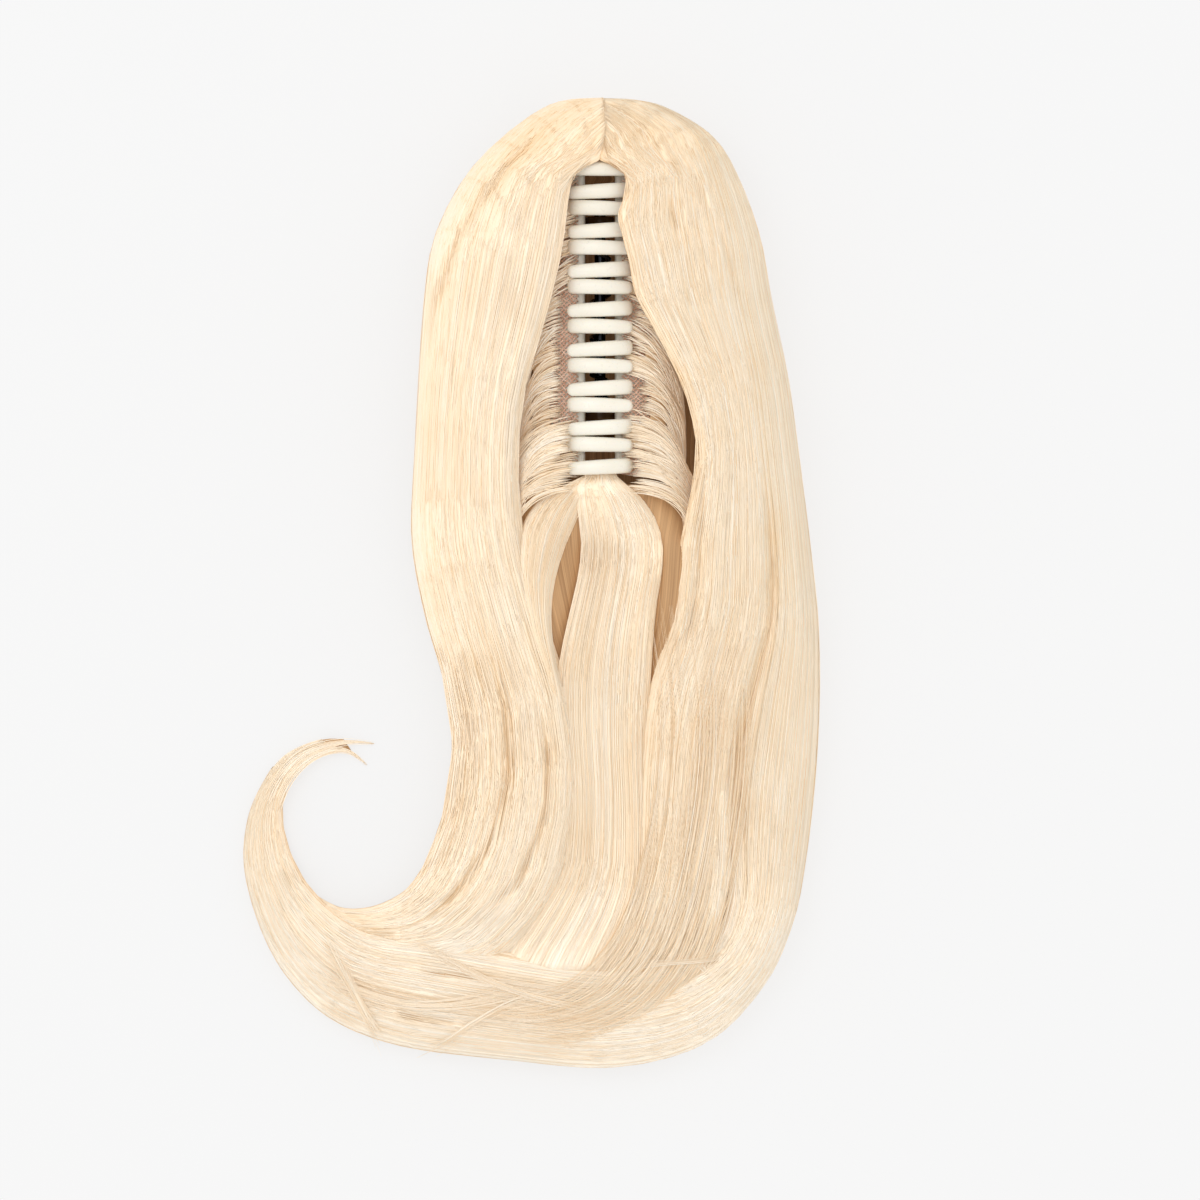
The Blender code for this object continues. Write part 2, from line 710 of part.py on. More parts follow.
def whole_hair(group):
    """Core and locks fused, with the claw's hollow and mouth cut, then the centre lock."""
    hair = hair_core(group)
    side_locks = [lock(*row, group) for row in LOCKS]
    combine(hair, side_locks, "UNION")
    cuts = [claw_hollow(group), claw_mouth(group)]
    cuts += [pocket(LEFT_POCKET, group), pocket(RIGHT_POCKET, group)]
    combine(hair, cuts, "DIFFERENCE")
    middle_locks = [lock(*row, group) for row in CENTRE_LOCKS]
    return combine(hair, middle_locks, "UNION")


def hair_layers(group, cutters, material):
    """Divides the fused hair into the back layer, both sides, the centre lock and the tail."""
    hair = whole_hair(cutters)
    half = GAP / 2.0
    above = BACK_LAYER_HEIGHT + GAP
    left_seam, right_seam = seam_lines()
    slope = (TAIL_RIGHT_Y - TAIL_LEFT_Y) / (2.0 * REACH)
    corner = TAIL_LEFT_Y + slope * (REACH + CURL_RIGHT_X)
    edge = CURL_RIGHT_X + GAP
    for seam in (left_seam, right_seam):
        seam[-1, 1] = TAIL_LEFT_Y + slope * (REACH + seam[-1, 0])
    top = REACH
    step = left_seam[0, 1] + GAP
    side_left = [[edge, top], [-half, top], [-half, step], [left_seam[0, 0] - half, step]]
    side_left += [[x - half, y] for x, y in left_seam]
    side_left += [[edge, corner]]
    side_right = [[REACH, top], [half, top], [half, step], [right_seam[0, 0] + half, step]]
    side_right += [[x + half, y] for x, y in right_seam]
    side_right += [[REACH, TAIL_RIGHT_Y]]
    centre = [[x + half, y] for x, y in left_seam]
    centre += [[x - half, y] for x, y in right_seam[::-1]]
    tail_outline = [[-REACH, -REACH / 2.0], [CURL_RIGHT_X, -REACH / 2.0], [CURL_RIGHT_X, corner - GAP]]
    tail_outline += [[REACH, TAIL_RIGHT_Y - GAP], [REACH, -3.0 * REACH], [-REACH, -3.0 * REACH]]
    sheet = [[edge, top], [REACH, top], [REACH, TAIL_RIGHT_Y], [edge, corner]]
    layers = (
        ("hair_back_layer", sheet, -1.0, BACK_LAYER_HEIGHT),
        ("hair_left_side", side_left, above, REACH),
        ("hair_right_side", side_right, above, REACH),
        ("hair_centre_lock", centre, above, REACH),
        ("hair_tail", tail_outline, -1.0, REACH),
    )
    for name, outline, low, high in layers:
        layer = copy_of(hair, name, group)
        combine(layer, [prism("space", outline, low, high, cutters)], "INTERSECT")
        dress(layer, name, material)
    bpy.data.objects.remove(hair)


def main():
    clear_scene()
    parts = collection("ponytail_hairpiece")
    cutters = collection("cutters")
    plastic = finish("claw_plastic", CLAW_COLOUR, 0.28)
    thread = finish("net_thread", NET_COLOUR, 0.85)
    steel = finish("spring_steel", STEEL_COLOUR, 0.30, 1.0)
    fibre = finish("hair_fibre", HAIR_COLOUR, 0.45)
    inner = KNUCKLE_INNER + KNUCKLE_LENGTH / 2.0
    outer = KNUCKLE_OUTER + KNUCKLE_LENGTH / 2.0
    right_first = FIRST_LEFT_TOOTH + RIGHT_TOOTH_OFFSET
    left = jaw(-1.0, FIRST_LEFT_TOOTH, LEFT_TOOTH_SLOPE, (inner, -outer), parts)
    right = jaw(1.0, right_first, RIGHT_TOOTH_SLOPE, (outer, -inner), parts)
    for thing, name in ((left, "claw_jaw_left"), (right, "claw_jaw_right")):
        hang_on_hinge(thing)
        dress(thing, name, plastic)
    for name, side, first in (("net_left", -1.0, FIRST_LEFT_TOOTH), ("net_right", 1.0, right_first)):
        strip = net_strip(name, side, first, parts)
        hang_on_hinge(strip)
        dress(strip, name, thread, 30.0)
    dress(hinge_pin(parts), "hinge_pin", steel)
    dress(hinge_spring(parts), "hinge_spring", steel, 60.0)
    hair_layers(parts, cutters, fibre)


main()
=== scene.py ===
"""Looks of a claw-clip ponytail hairpiece that lies on its back with the claw's teeth up.

Tables and functions are in millimetres, and a mesh is made in metres.
+X is to the camera's right, +Y is towards the crown and +Z is up to the camera.
"""
import math

import bmesh
import bpy
import numpy as np
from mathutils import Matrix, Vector


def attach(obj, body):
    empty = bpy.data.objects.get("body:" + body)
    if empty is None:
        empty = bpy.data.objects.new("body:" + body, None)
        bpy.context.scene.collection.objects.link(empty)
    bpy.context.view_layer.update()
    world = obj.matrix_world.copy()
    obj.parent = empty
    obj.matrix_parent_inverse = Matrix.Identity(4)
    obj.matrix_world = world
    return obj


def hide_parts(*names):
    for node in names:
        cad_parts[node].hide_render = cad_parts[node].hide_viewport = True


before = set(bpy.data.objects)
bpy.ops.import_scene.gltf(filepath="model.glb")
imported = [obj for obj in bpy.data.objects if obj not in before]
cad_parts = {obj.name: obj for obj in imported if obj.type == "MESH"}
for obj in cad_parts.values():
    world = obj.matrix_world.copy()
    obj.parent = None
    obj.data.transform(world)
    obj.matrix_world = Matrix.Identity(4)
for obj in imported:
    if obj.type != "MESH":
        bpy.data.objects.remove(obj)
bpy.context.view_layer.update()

MM = 0.001
UP = np.array([0.0, 0.0, 1.0])
draw = np.random.default_rng(20)

# Camera: it looks straight down at the middle of the frame.
FRAME_WIDTH = 425.0
FRAME_CENTRE = (0.0, -98.06)
CAMERA_HEIGHT = 3200.0
SENSOR = 36.0

# Claw: angles are measured about the hinge from straight up, radii from the hinge axis.
# A tooth's slope is how far it shifts along the hinge between its tip and its root.
HINGE_HEIGHT = 26.0
WALL_THICKNESS = 2.4
# The wall's ends round off from this share of its half length, over this share of it.
EDGE_START = 0.975
EDGE_LENGTH = 0.027
TOOTH_COUNT = 8
TOOTH_PITCH = 13.7
FIRST_LEFT_TOOTH = 51.9
RIGHT_TOOTH_OFFSET = -7.85
TOOTH_WIDTH = 5.3
TOOTH_THICKNESS = 4.0
LEFT_TOOTH_SLOPE = 0.25
RIGHT_TOOTH_SLOPE = 0.55
KNUCKLE_RADIUS = 5.0
KNUCKLE_BORE = 2.3
KNUCKLE_LENGTH = 5.5
KNUCKLE_INNER = 33.75
KNUCKLE_OUTER = 39.75
# Wall's profile from the mouth to the lever: angle, radius, half length.
JAW_ROWS = (
    (13.0, 28.3, 54.0),
    (26.0, 28.5, 55.0),
    (40.0, 28.0, 54.5),
    (54.0, 25.5, 52.0),
    (68.0, 21.0, 48.0),
    (82.0, 15.0, 45.0),
    (98.0, 9.8, 43.5),
    (120.0, 7.6, 42.0),
    (138.0, 9.8, 31.0),
    (143.0, 14.5, 21.0),
    (143.0, 19.5, 18.0),
)
# Tooth's path: angle towards the jaw's own side, radius, width share, thickness share.
TOOTH_ROWS = (
    (17.5, 27.8, 1.00, 1.00),
    (17.6, 31.0, 1.00, 1.00),
    (15.2, 33.2, 1.00, 1.00),
    (7.5, 34.1, 1.00, 0.98),
    (-4.0, 34.0, 0.96, 0.95),
    (-14.6, 34.0, 0.88, 0.88),
    (-18.0, 34.0, 0.70, 0.74),
    (-19.6, 33.9, 0.30, 0.36),
)
# Hollow in the hair where the jaws swing: angle, radius.
HOLLOW_RADIUS = 36.6
HOLLOW_LAST_ANGLE = 108.0
HOLLOW_ROWS = (
    (0.0, HOLLOW_RADIUS),
    (46.0, HOLLOW_RADIUS),
    (78.0, 36.4),
    (92.0, 32.5),
    (HOLLOW_LAST_ANGLE, 26.0),
)
HOLLOW_HALF_LENGTH = 57.4

# Hair from the crown to the tip of the curl, a row for each cross-section:
# left x, left y, right x, right y, crest height, depth of the valley between the halves.
HAIR_ROWS = (
    (-9.0, 78.5, 12.0, 78.5, 26.0, 0.0),
    (-19.5, 75.5, 23.0, 75.5, 44.0, 0.0),
    (-34.0, 65.0, 39.5, 65.0, 60.0, 0.5),
    (-47.5, 50.5, 48.5, 50.5, 66.5, 1.0),
    (-58.0, 29.5, 56.0, 29.5, 68.5, 2.0),
    (-61.5, 8.0, 60.0, 8.0, 68.0, 3.0),
    (-63.5, -20.0, 66.0, -20.0, 68.0, 8.0),
    (-65.0, -48.5, 70.0, -48.5, 65.0, 13.0),
    (-66.0, -77.0, 73.5, -77.0, 59.0, 15.0),
    (-61.0, -105.0, 76.5, -105.0, 51.0, 12.0),
    (-53.0, -133.5, 77.0, -133.5, 44.0, 9.0),
    (-52.5, -162.0, 75.5, -162.0, 39.0, 7.0),
    (-59.5, -186.5, 72.0, -192.0, 34.0, 5.0),
    (-66.0, -198.0, 67.5, -213.0, 31.0, 3.0),
    (-71.0, -202.5, 57.5, -234.5, 28.0, 1.0),
    (-77.0, -205.5, 37.0, -254.5, 26.0, 0.0),
    (-82.0, -207.0, 4.5, -263.0, 24.0, 0.0),
    (-88.0, -207.5, -35.5, -260.0, 22.0, 0.0),
    (-93.5, -206.5, -70.0, -255.5, 19.0, 0.0),
    (-100.0, -203.0, -94.0, -246.5, 17.0, 0.0),
    (-105.0, -198.0, -109.5, -232.5, 15.0, 0.0),
    (-109.5, -190.0, -119.5, -215.0, 12.0, 0.0),
    (-112.0, -179.5, -125.5, -193.5, 10.0, 0.0),
    (-112.0, -169.0, -124.5, -176.0, 8.0, 0.0),
    (-108.0, -159.0, -119.0, -162.5, 6.5, 0.0),
    (-101.0, -153.5, -111.0, -152.5, 5.0, 0.0),
    (-92.0, -152.0, -97.0, -147.0, 3.6, 0.0),
    (-83.0, -151.0, -83.5, -148.5, 2.2, 0.0),
)
LAST_ROW = len(HAIR_ROWS) - 1.0
HAIR_SQUARENESS = 2.5
WIDEST_HEIGHT = 0.28
FOOT_INSET = 0.04
VALLEY_PLACE = 0.46
VALLEY_WIDTH = 0.12
PARTING_LEFT = 0.4875
PARTING_RIGHT = 0.4845
# The back layer lies on the table, and the rest of the hair starts just over it.
LAYER_HEIGHT = 5.0
ABOVE_LAYER = 5.3
ABOVE_TABLE = 0.3

# Places across the hair where its masses meet: row, left mass's inner edge, right mass's
# inner edge, groove between the right mass and the outer sweep.
SEAM_PLACES = (
    (0.0, 0.4875, 0.4845, 0.900),
    (1.0, 0.4875, 0.4845, 0.900),
    (2.0, 0.4875, 0.4845, 0.900),
    (2.7, 0.4875, 0.4845, 0.895),
    (2.85, 0.410, 0.600, 0.890),
    (3.0, 0.375, 0.620, 0.890),
    (3.3, 0.392, 0.600, 0.890),
    (3.7, 0.398, 0.565, 0.890),
    (4.0, 0.400, 0.575, 0.890),
    (4.5, 0.390, 0.595, 0.890),
    (5.0, 0.368, 0.608, 0.890),
    (5.5, 0.335, 0.655, 0.893),
    (6.0, 0.297, 0.702, 0.900),
    (6.5, 0.278, 0.728, 0.900),
    (7.0, 0.270, 0.733, 0.900),
    (7.5, 0.275, 0.705, 0.900),
    (8.0, 0.285, 0.675, 0.897),
    (9.0, 0.305, 0.625, 0.875),
    (10.0, 0.330, 0.533, 0.810),
    (11.0, 0.355, 0.517, 0.778),
    (12.0, 0.372, 0.550, 0.800),
    (13.0, 0.372, 0.585, 0.815),
    (14.0, 0.365, 0.600, 0.825),
    (15.0, 0.370, 0.620, 0.830),
    (16.0, 0.370, 0.640, 0.830),
)
# Upper edge of the sweep that crosses the bottom, in place of the groove from row 12 on:
# x and y, a row for each row of HAIR_ROWS from 12 to 22.
SWEEP_FIRST_ROW = 12.0
SWEEP_EDGE = (
    (46.0, -190.5),
    (44.0, -209.0),
    (36.0, -222.0),
    (18.0, -227.3),
    (-5.0, -226.6),
    (-31.9, -222.3),
    (-56.6, -217.7),
    (-79.7, -215.0),
    (-94.5, -207.2),
    (-104.6, -196.9),
    (-110.0, -186.0),
)

# Grooves in the hair as lines in plan: depth, half width, darkening (painted shade in the groove), points.
GROOVES = (
    (1.6, 2.2, 0.14, ((-12.7, 69.0), (-28.0, 57.3), (-41.8, 40.7), (-50.3, 25.1), (-57.3, 6.7),
                      (-61.9, -14.5))),
    (0.9, 1.3, 0.16, ((26.2, 55.2), (32.2, 48.5), (36.8, 37.9), (42.8, 25.1), (46.7, 14.5), (52.4, 0.0))),
    (0.7, 1.1, 0.14, ((23.4, 37.9), (27.3, 30.1))),
    (0.7, 1.1, 0.14, ((34.0, -1.1), (37.9, -9.6))),
    (2.4, 1.7, 0.22, ((-36.8, -114.3), (-34.0, -129.2), (-31.9, -145.5), (-31.5, -155.4), (-32.6, -165.0),
                      (-35.8, -177.7), (-40.7, -187.3), (-47.4, -197.9), (-57.7, -208.2), (-71.5, -215.6))),
    (2.6, 1.6, 0.24, ((-22.3, -129.2), (-19.5, -145.5), (-18.1, -155.4), (-18.4, -169.9), (-22.3, -183.4),
                      (-29.0, -197.9), (-41.4, -205.7))),
    (1.2, 1.3, 0.14, ((-46.4, -135.9), (-45.0, -150.4))),
    (2.2, 2.8, 0.20, ((56.3, -48.5), (58.4, -68.0), (60.2, -87.4), (59.1, -106.6), (54.5, -124.3),
                      (49.6, -140.5), (46.7, -160.0), (49.6, -174.5), (48.5, -189.4))),
    (1.6, 1.9, 0.14, ((34.0, -48.5), (35.0, -63.0), (35.0, -87.4), (32.2, -106.6), (25.1, -126.0))),
    (1.0, 1.0, 0.18, ((41.8, -179.5), (43.9, -194.0))),
    (2.2, 1.2, 0.30, ((-63.4, -228.7), (-53.1, -229.7), (-42.8, -231.2))),
    (1.5, 1.6, 0.22, ((-72.9, -243.2), (-61.9, -245.7), (-51.0, -246.7))),
    (1.5, 1.6, 0.20, ((-99.8, -240.4), (-92.0, -245.0), (-83.5, -248.2))),
    (1.2, 2.0, 0.18, ((-93.8, -206.0), (-81.4, -213.1), (-70.8, -216.6))),
)


# Shared sums


def smooth_table(table, places):
    """Catmull-Rom curve through a table's rows, read at row numbers with fractions."""
    rows = np.array(table, float)
    places = np.clip(np.asarray(places, float), 0.0, len(rows) - 1.0)
    base = np.minimum(places.astype(int), len(rows) - 2)
    share = (places - base)[..., None]
    before = rows[np.maximum(base - 1, 0)]
    start = rows[base]
    end = rows[base + 1]
    after = rows[np.minimum(base + 2, len(rows) - 1)]
    slope_in = (end - before) / 2.0
    slope_out = (after - start) / 2.0
    cubic = 2.0 * start - 2.0 * end + slope_in + slope_out
    square = -3.0 * start + 3.0 * end - 2.0 * slope_in - slope_out
    return ((cubic * share + square) * share + slope_in) * share + start


def step_between(value, low, high):
    """0 below low, 1 above high, and a smooth cubic step between them."""
    share = np.clip((value - low) / (high - low), 0.0, 1.0)
    return share * share * (3.0 - 2.0 * share)


def polar(angle, radius, side):
    """x and z of a point at an angle from straight up about the hinge; side is -1 or 1."""
    turn = np.radians(angle)
    return side * radius * np.sin(turn), HINGE_HEIGHT + radius * np.cos(turn)


def wander(count, seed):
    """A smooth random line from -1 to 1 as a table of knots, read with smooth_table."""
    return np.random.default_rng(seed).uniform(-1.0, 1.0, (count, 1))


def along_wander(shares, knots):
    """The value of a random line at shares from 0 to 1 of its length."""
    return smooth_table(knots, shares * (len(knots) - 1.0))[..., 0]


def hair_surface(rows, places):
    """Outer form of the hair: straight across each row in plan, and in height a dome with the
    exponent HAIR_SQUARENESS on sides of WIDEST_HEIGHT, less a bell-shaped valley near the middle."""
    rows, places = np.broadcast_arrays(np.asarray(rows, float), np.asarray(places, float))
    section = smooth_table(HAIR_ROWS, rows)
    left = section[..., 0:2]
    right = section[..., 2:4]
    crest = section[..., 4]
    valley = section[..., 5]
    flat = left + (right - left) * places[..., None]
    edge = np.abs(2.0 * places - 1.0) ** HAIR_SQUARENESS
    dome = np.maximum(1.0 - edge, 0.0) ** (1.0 / HAIR_SQUARENESS)
    widest = WIDEST_HEIGHT * crest
    dip = valley * np.exp(-((places - VALLEY_PLACE) / VALLEY_WIDTH) ** 2)
    height = widest + (crest - widest) * dome - dip
    return np.concatenate([flat, height[..., None]], axis=-1)


# Height of the hair at any x and y, on a grid of cells.
CELL = 1.0
GRID_LOW = (-142.0, -280.0)
GRID_SIZE = (240, 375)
FILL_STEPS = 10


def height_grid():
    """Dense samples of the hair's form, the highest kept in each cell, then spread into empty
    neighbours and averaged once with them."""
    rows = np.linspace(0.0, LAST_ROW, 2200)[:, None]
    places = np.linspace(0.0, 1.0, 420)[None, :]
    points = hair_surface(rows, places).reshape(-1, 3)
    cells = ((points[:, :2] - GRID_LOW) / CELL).astype(int)
    grid = np.zeros(GRID_SIZE)
    np.maximum.at(grid, (cells[:, 0], cells[:, 1]), points[:, 2])
    for _ in range(FILL_STEPS):
        around = np.stack([np.roll(grid, step, axis) for step in (1, -1) for axis in (0, 1)])
        filled = np.maximum((around > 0.0).sum(axis=0), 1)
        grid = np.where(grid > 0.0, grid, around.sum(axis=0) / filled)
    around = np.stack([np.roll(grid, step, axis) for step in (1, -1) for axis in (0, 1)])
    return (grid * 2.0 + around.sum(axis=0)) / 6.0


HEIGHTS = height_grid()


def height_at(x, y):
    """The hair's height at x and y, weighted between the four nearest cells."""
    across = np.clip((x - GRID_LOW[0]) / CELL - 0.5, 0.0, GRID_SIZE[0] - 2.0)
    along = np.clip((y - GRID_LOW[1]) / CELL - 0.5, 0.0, GRID_SIZE[1] - 2.0)
    column = across.astype(int)
    row = along.astype(int)
    right = across - column
    up = along - row
    low = HEIGHTS[column, row] * (1.0 - right) + HEIGHTS[column + 1, row] * right
    high = HEIGHTS[column, row + 1] * (1.0 - right) + HEIGHTS[column + 1, row + 1] * right
    return low * (1.0 - up) + high * up


# Meshes


def mesh_piece(name, vertices, quads, caps, attributes):
    """A mesh object from arrays: vertices in millimetres, quads and caps as vertex numbers,
    and attributes with a value for each vertex."""
    mesh = bpy.data.meshes.new(name)
    loops = np.concatenate([quads.ravel(), caps.ravel()]).astype(np.int32)
    sizes = np.concatenate([np.full(len(quads), quads.shape[1]), np.full(len(caps), caps.shape[1])])
    starts = np.concatenate([[0], np.cumsum(sizes)[:-1]]).astype(np.int32)
    mesh.vertices.add(len(vertices))
    mesh.vertices.foreach_set("co", (np.asarray(vertices) * MM).astype(np.float32).ravel())
    mesh.loops.add(len(loops))
    mesh.loops.foreach_set("vertex_index", loops)
    mesh.polygons.add(len(starts))
    mesh.polygons.foreach_set("loop_start", starts)
    mesh.polygons.foreach_set("use_smooth", np.ones(len(starts), bool))
    mesh.update(calc_edges=True)
    for label, values in attributes.items():
        layer = mesh.attributes.new(label, "FLOAT", "POINT")
        layer.data.foreach_set("value", np.asarray(values, np.float32).ravel())
    mesh.validate()
    piece = bpy.data.objects.new(name, mesh)
    bpy.context.scene.collection.objects.link(piece)
    return piece


def ring_faces(rows, sides):
    """Quads between neighbouring closed rings of a stack, and a cap on each end."""
    here = np.arange(rows - 1)[:, None] * sides
    there = here + sides
    side = np.arange(sides)[None, :]
    after = (side + 1) % sides
    quads = np.stack([here + side, here + after, there + after, there + side], axis=-1).reshape(-1, 4)
    caps = np.stack([np.arange(sides)[::-1], (rows - 1) * sides + np.arange(sides)])
    return quads, caps


def sweep(paths, wide, deep, sides):
    """Ovals carried along many paths at once: paths is strands x steps x 3, wide and deep their
    widths and thicknesses. Each oval's first axis is square to the path and level."""
    run = np.gradient(paths, axis=1)
    run /= np.maximum(np.linalg.norm(run, axis=-1, keepdims=True), 1e-9)
    side = np.cross(UP, run)
    side /= np.maximum(np.linalg.norm(side, axis=-1, keepdims=True), 1e-9)
    normal = np.cross(run, side)
    turn = 2.0 * math.pi * (np.arange(sides) + 0.25 * (sides == 4)) / sides
    flat = side[:, :, None, :] * (wide[..., None] / 2.0 * np.cos(turn))[..., None]
    rise = normal[:, :, None, :] * (deep[..., None] / 2.0 * np.sin(turn))[..., None]
    return paths[:, :, None, :] + flat + rise


def strand_piece(name, paths, wide, deep, tone, material, sides=3):
    """Strands as thin closed ovals along their paths, each with its own tone."""
    rings = sweep(paths, wide, deep, sides)
    count, steps = rings.shape[:2]
    quads, caps = ring_faces(steps, sides)
    shift = (np.arange(count) * steps * sides)[:, None, None]
    quads = (quads[None] + shift).reshape(-1, 4)
    caps = (caps[None] + shift).reshape(-1, sides)
    share = np.broadcast_to(np.linspace(0.0, 1.0, steps)[None, :, None], rings.shape[:3])
    tones = np.broadcast_to(np.asarray(tone).reshape(count, -1, 1), rings.shape[:3])
    values = {"tone": tones, "run": share}
    piece = mesh_piece(name, rings.reshape(-1, 3), quads, caps, values)
    piece.data.materials.append(material)
    return piece


def solid_piece(name, rings, material, tones=None):
    """A closed solid through a stack of rings, with a UV map in metres across and along it."""
    rows, sides = rings.shape[:2]
    quads, caps = ring_faces(rows, sides)
    values = {} if tones is None else {"tone": tones}
    piece = mesh_piece(name, rings.reshape(-1, 3), quads, caps, values)
    across = np.cumsum(np.linalg.norm(np.diff(rings, axis=1, prepend=rings[:, :1]), axis=-1), axis=1)
    along = np.cumsum(np.linalg.norm(np.diff(rings, axis=0, prepend=rings[:1]), axis=-1), axis=0)
    flow = np.empty((rows, sides, 2))
    flow[..., 0] = across.mean(axis=0)
    flow[..., 1] = along.mean(axis=1)[:, None]
    index = np.empty(len(piece.data.loops), np.int32)
    piece.data.loops.foreach_get("vertex_index", index)
    layer = piece.data.uv_layers.new(name="flow")
    layer.data.foreach_set("uv", (flow.reshape(-1, 2)[index] * MM).astype(np.float32).ravel())
    turn_outwards(piece)
    piece.data.materials.append(material)
    return piece


def turn_outwards(piece):
    """Turns each closed shell's faces outwards."""
    work = bmesh.new()
    work.from_mesh(piece.data)
    bmesh.ops.recalc_face_normals(work, faces=work.faces)
    work.to_mesh(piece.data)
    work.free()


def joined(name, pieces):
    """One object from several, in order."""
    work = bmesh.new()
    for piece in pieces:
        work.from_mesh(piece.data)
    mesh = pieces[0].data
    work.to_mesh(mesh)
    work.free()
    for piece in pieces[1:]:
        bpy.data.objects.remove(piece)
    pieces[0].name = name
    mesh.name = name
    return pieces[0]


# Materials


def new_material(name):
    """A material, its node tree and its Principled shader."""
    material = bpy.data.materials.new(name)
    material.use_nodes = True
    tree = material.node_tree
    return material, tree, tree.nodes["Principled BSDF"]


def add_node(tree, kind, **values):
    """A node with some of its sockets set by name; an underscore stands for a space."""
    node = tree.nodes.new(kind)
    for label, value in values.items():
        node.inputs[label.replace("_", " ")].default_value = value
    return node


def ramp(tree, factor, stops):
    """A colour ramp through stops of place and colour."""
    node = tree.nodes.new("ShaderNodeValToRGB")
    elements = node.color_ramp.elements
    for number, (place, colour) in enumerate(stops):
        element = elements[number] if number < 2 else elements.new(place)
        element.position = place
        element.color = (*colour, 1.0)
    tree.links.new(factor, node.inputs["Fac"])
    return node


def bump(tree, shader, height, strength, distance):
    """A bump from a height, on the shader's normal."""
    node = add_node(tree, "ShaderNodeBump", Strength=strength, Distance=distance)
    tree.links.new(height, node.inputs["Height"])
    tree.links.new(node.outputs["Normal"], shader.inputs["Normal"])


def mottled(tree, shader, socket, factor, dark, pale):
    """Two colours or grey levels by a factor from 0.3 to 0.7, on one of the shader's sockets."""
    colours = ramp(tree, factor, ((0.3, dark), (0.7, pale)))
    tree.links.new(colours.outputs["Color"], shader.inputs[socket])


def math_node(tree, operation, value, number=0.5):
    """A sum of one value and one fixed number."""
    node = tree.nodes.new("ShaderNodeMath")
    node.operation = operation
    node.inputs[1].default_value = number
    tree.links.new(value, node.inputs[0])
    return node


def object_noise(tree, scale, detail, roughness):
    """Noise on the piece's own coordinates."""
    place = tree.nodes.new("ShaderNodeTexCoord")
    noise = add_node(tree, "ShaderNodeTexNoise", Scale=scale, Detail=detail, Roughness=roughness)
    tree.links.new(place.outputs["Object"], noise.inputs["Vector"])
    return noise.outputs["Fac"]


def mesh_value(tree, label):
    """A value that the mesh carries at each vertex."""
    node = tree.nodes.new("ShaderNodeAttribute")
    node.attribute_name = label
    return node.outputs["Fac"]


def stretched_noise(tree, place, scale, detail, roughness):
    """Noise on a place that is scaled by its own amount along each axis."""
    stretch = tree.nodes.new("ShaderNodeMapping")
    stretch.inputs["Scale"].default_value = scale
    tree.links.new(place, stretch.inputs["Vector"])
    noise = add_node(tree, "ShaderNodeTexNoise", Scale=1.0, Detail=detail, Roughness=roughness)
    tree.links.new(stretch.outputs["Vector"], noise.inputs["Vector"])
    return noise.outputs["Fac"]


# Hair colours from the painted shade of the deepest gap to the palest strand, each with its place on the
# tone scale.
HAIR_TONES = (
    (0.00, (0.30, 0.16, 0.07)),
    (0.20, (0.62, 0.38, 0.19)),
    (0.42, (0.84, 0.62, 0.38)),
    (0.62, (0.92, 0.75, 0.54)),
    (0.80, (0.95, 0.81, 0.63)),
    (1.00, (0.97, 0.88, 0.75)),
)


def tone_plus(tree, value, share):
    """The mesh's tone plus a share of a value that is centred on a half."""
    centred = math_node(tree, "SUBTRACT", value, 0.5)
    mixed = math_node(tree, "MULTIPLY_ADD", centred.outputs["Value"], share)
    tree.links.new(mesh_value(tree, "tone"), mixed.inputs[2])
    return mixed.outputs["Value"]


def hair_finish(tree, shader, tone, roughness):
    """The shared look of all hair: its tone's colour, a soft sheen and a faint glow
    that stands for light scattered from fibre to fibre."""
    colours = ramp(tree, tone, HAIR_TONES)
    tree.links.new(colours.outputs["Color"], shader.inputs["Base Color"])
    shader.inputs["Roughness"].default_value = roughness
    shader.inputs["Specular IOR Level"].default_value = 0.30
    tree.links.new(colours.outputs["Color"], shader.inputs["Emission Color"])
    shader.inputs["Emission Strength"].default_value = 0.10


def strand_material():
    """Pale blonde fibre: each strand's tone picks its colour, with slow changes along it."""
    material, tree, shader = new_material("blonde_strands")
    slow = object_noise(tree, 45.0, 3.0, 0.6)
    hair_finish(tree, shader, tone_plus(tree, slow, 0.30), 0.42)
    return material


def streak_noise(tree, across, along, detail):
    """Noise on the flow map, drawn out along the hair."""
    place = tree.nodes.new("ShaderNodeUVMap")
    place.uv_map = "flow"
    return stretched_noise(tree, place.outputs["UV"], (across, along, 1.0), detail, 0.65)


def hair_material():
    """Massed hair: 0.55 of a fine and 0.45 of a broad streak noise change the tone along the flow,
    and the fine one gives a relief."""
    material, tree, shader = new_material("massed_hair")
    fine = streak_noise(tree, 2300.0, 10.0, 4.0)
    broad = streak_noise(tree, 260.0, 7.0, 2.0)
    both = math_node(tree, "MULTIPLY_ADD", broad, 0.45)
    fine_share = math_node(tree, "MULTIPLY", fine, 0.55)
    tree.links.new(fine_share.outputs["Value"], both.inputs[2])
    hair_finish(tree, shader, tone_plus(tree, both.outputs["Value"], 0.75), 0.50)
    bump(tree, shader, fine, 0.25, 0.0005)
    return material


def claw_material():
    """Moulded cream plastic: faint cloudy colour and a fine uneven gloss."""
    material, tree, shader = new_material("cream_plastic")
    cloud = object_noise(tree, 70.0, 3.0, 0.5)
    fine = object_noise(tree, 900.0, 2.0, 0.5)
    mottled(tree, shader, "Base Color", cloud, (0.80, 0.755, 0.645), (0.84, 0.80, 0.70))
    mottled(tree, shader, "Roughness", fine, (0.26, 0.26, 0.26), (0.36, 0.36, 0.36))
    shader.inputs["Subsurface Weight"].default_value = 0.15
    shader.inputs["Subsurface Radius"].default_value = (0.004, 0.003, 0.002)
    bump(tree, shader, fine, 0.08, 0.0001)
    return material


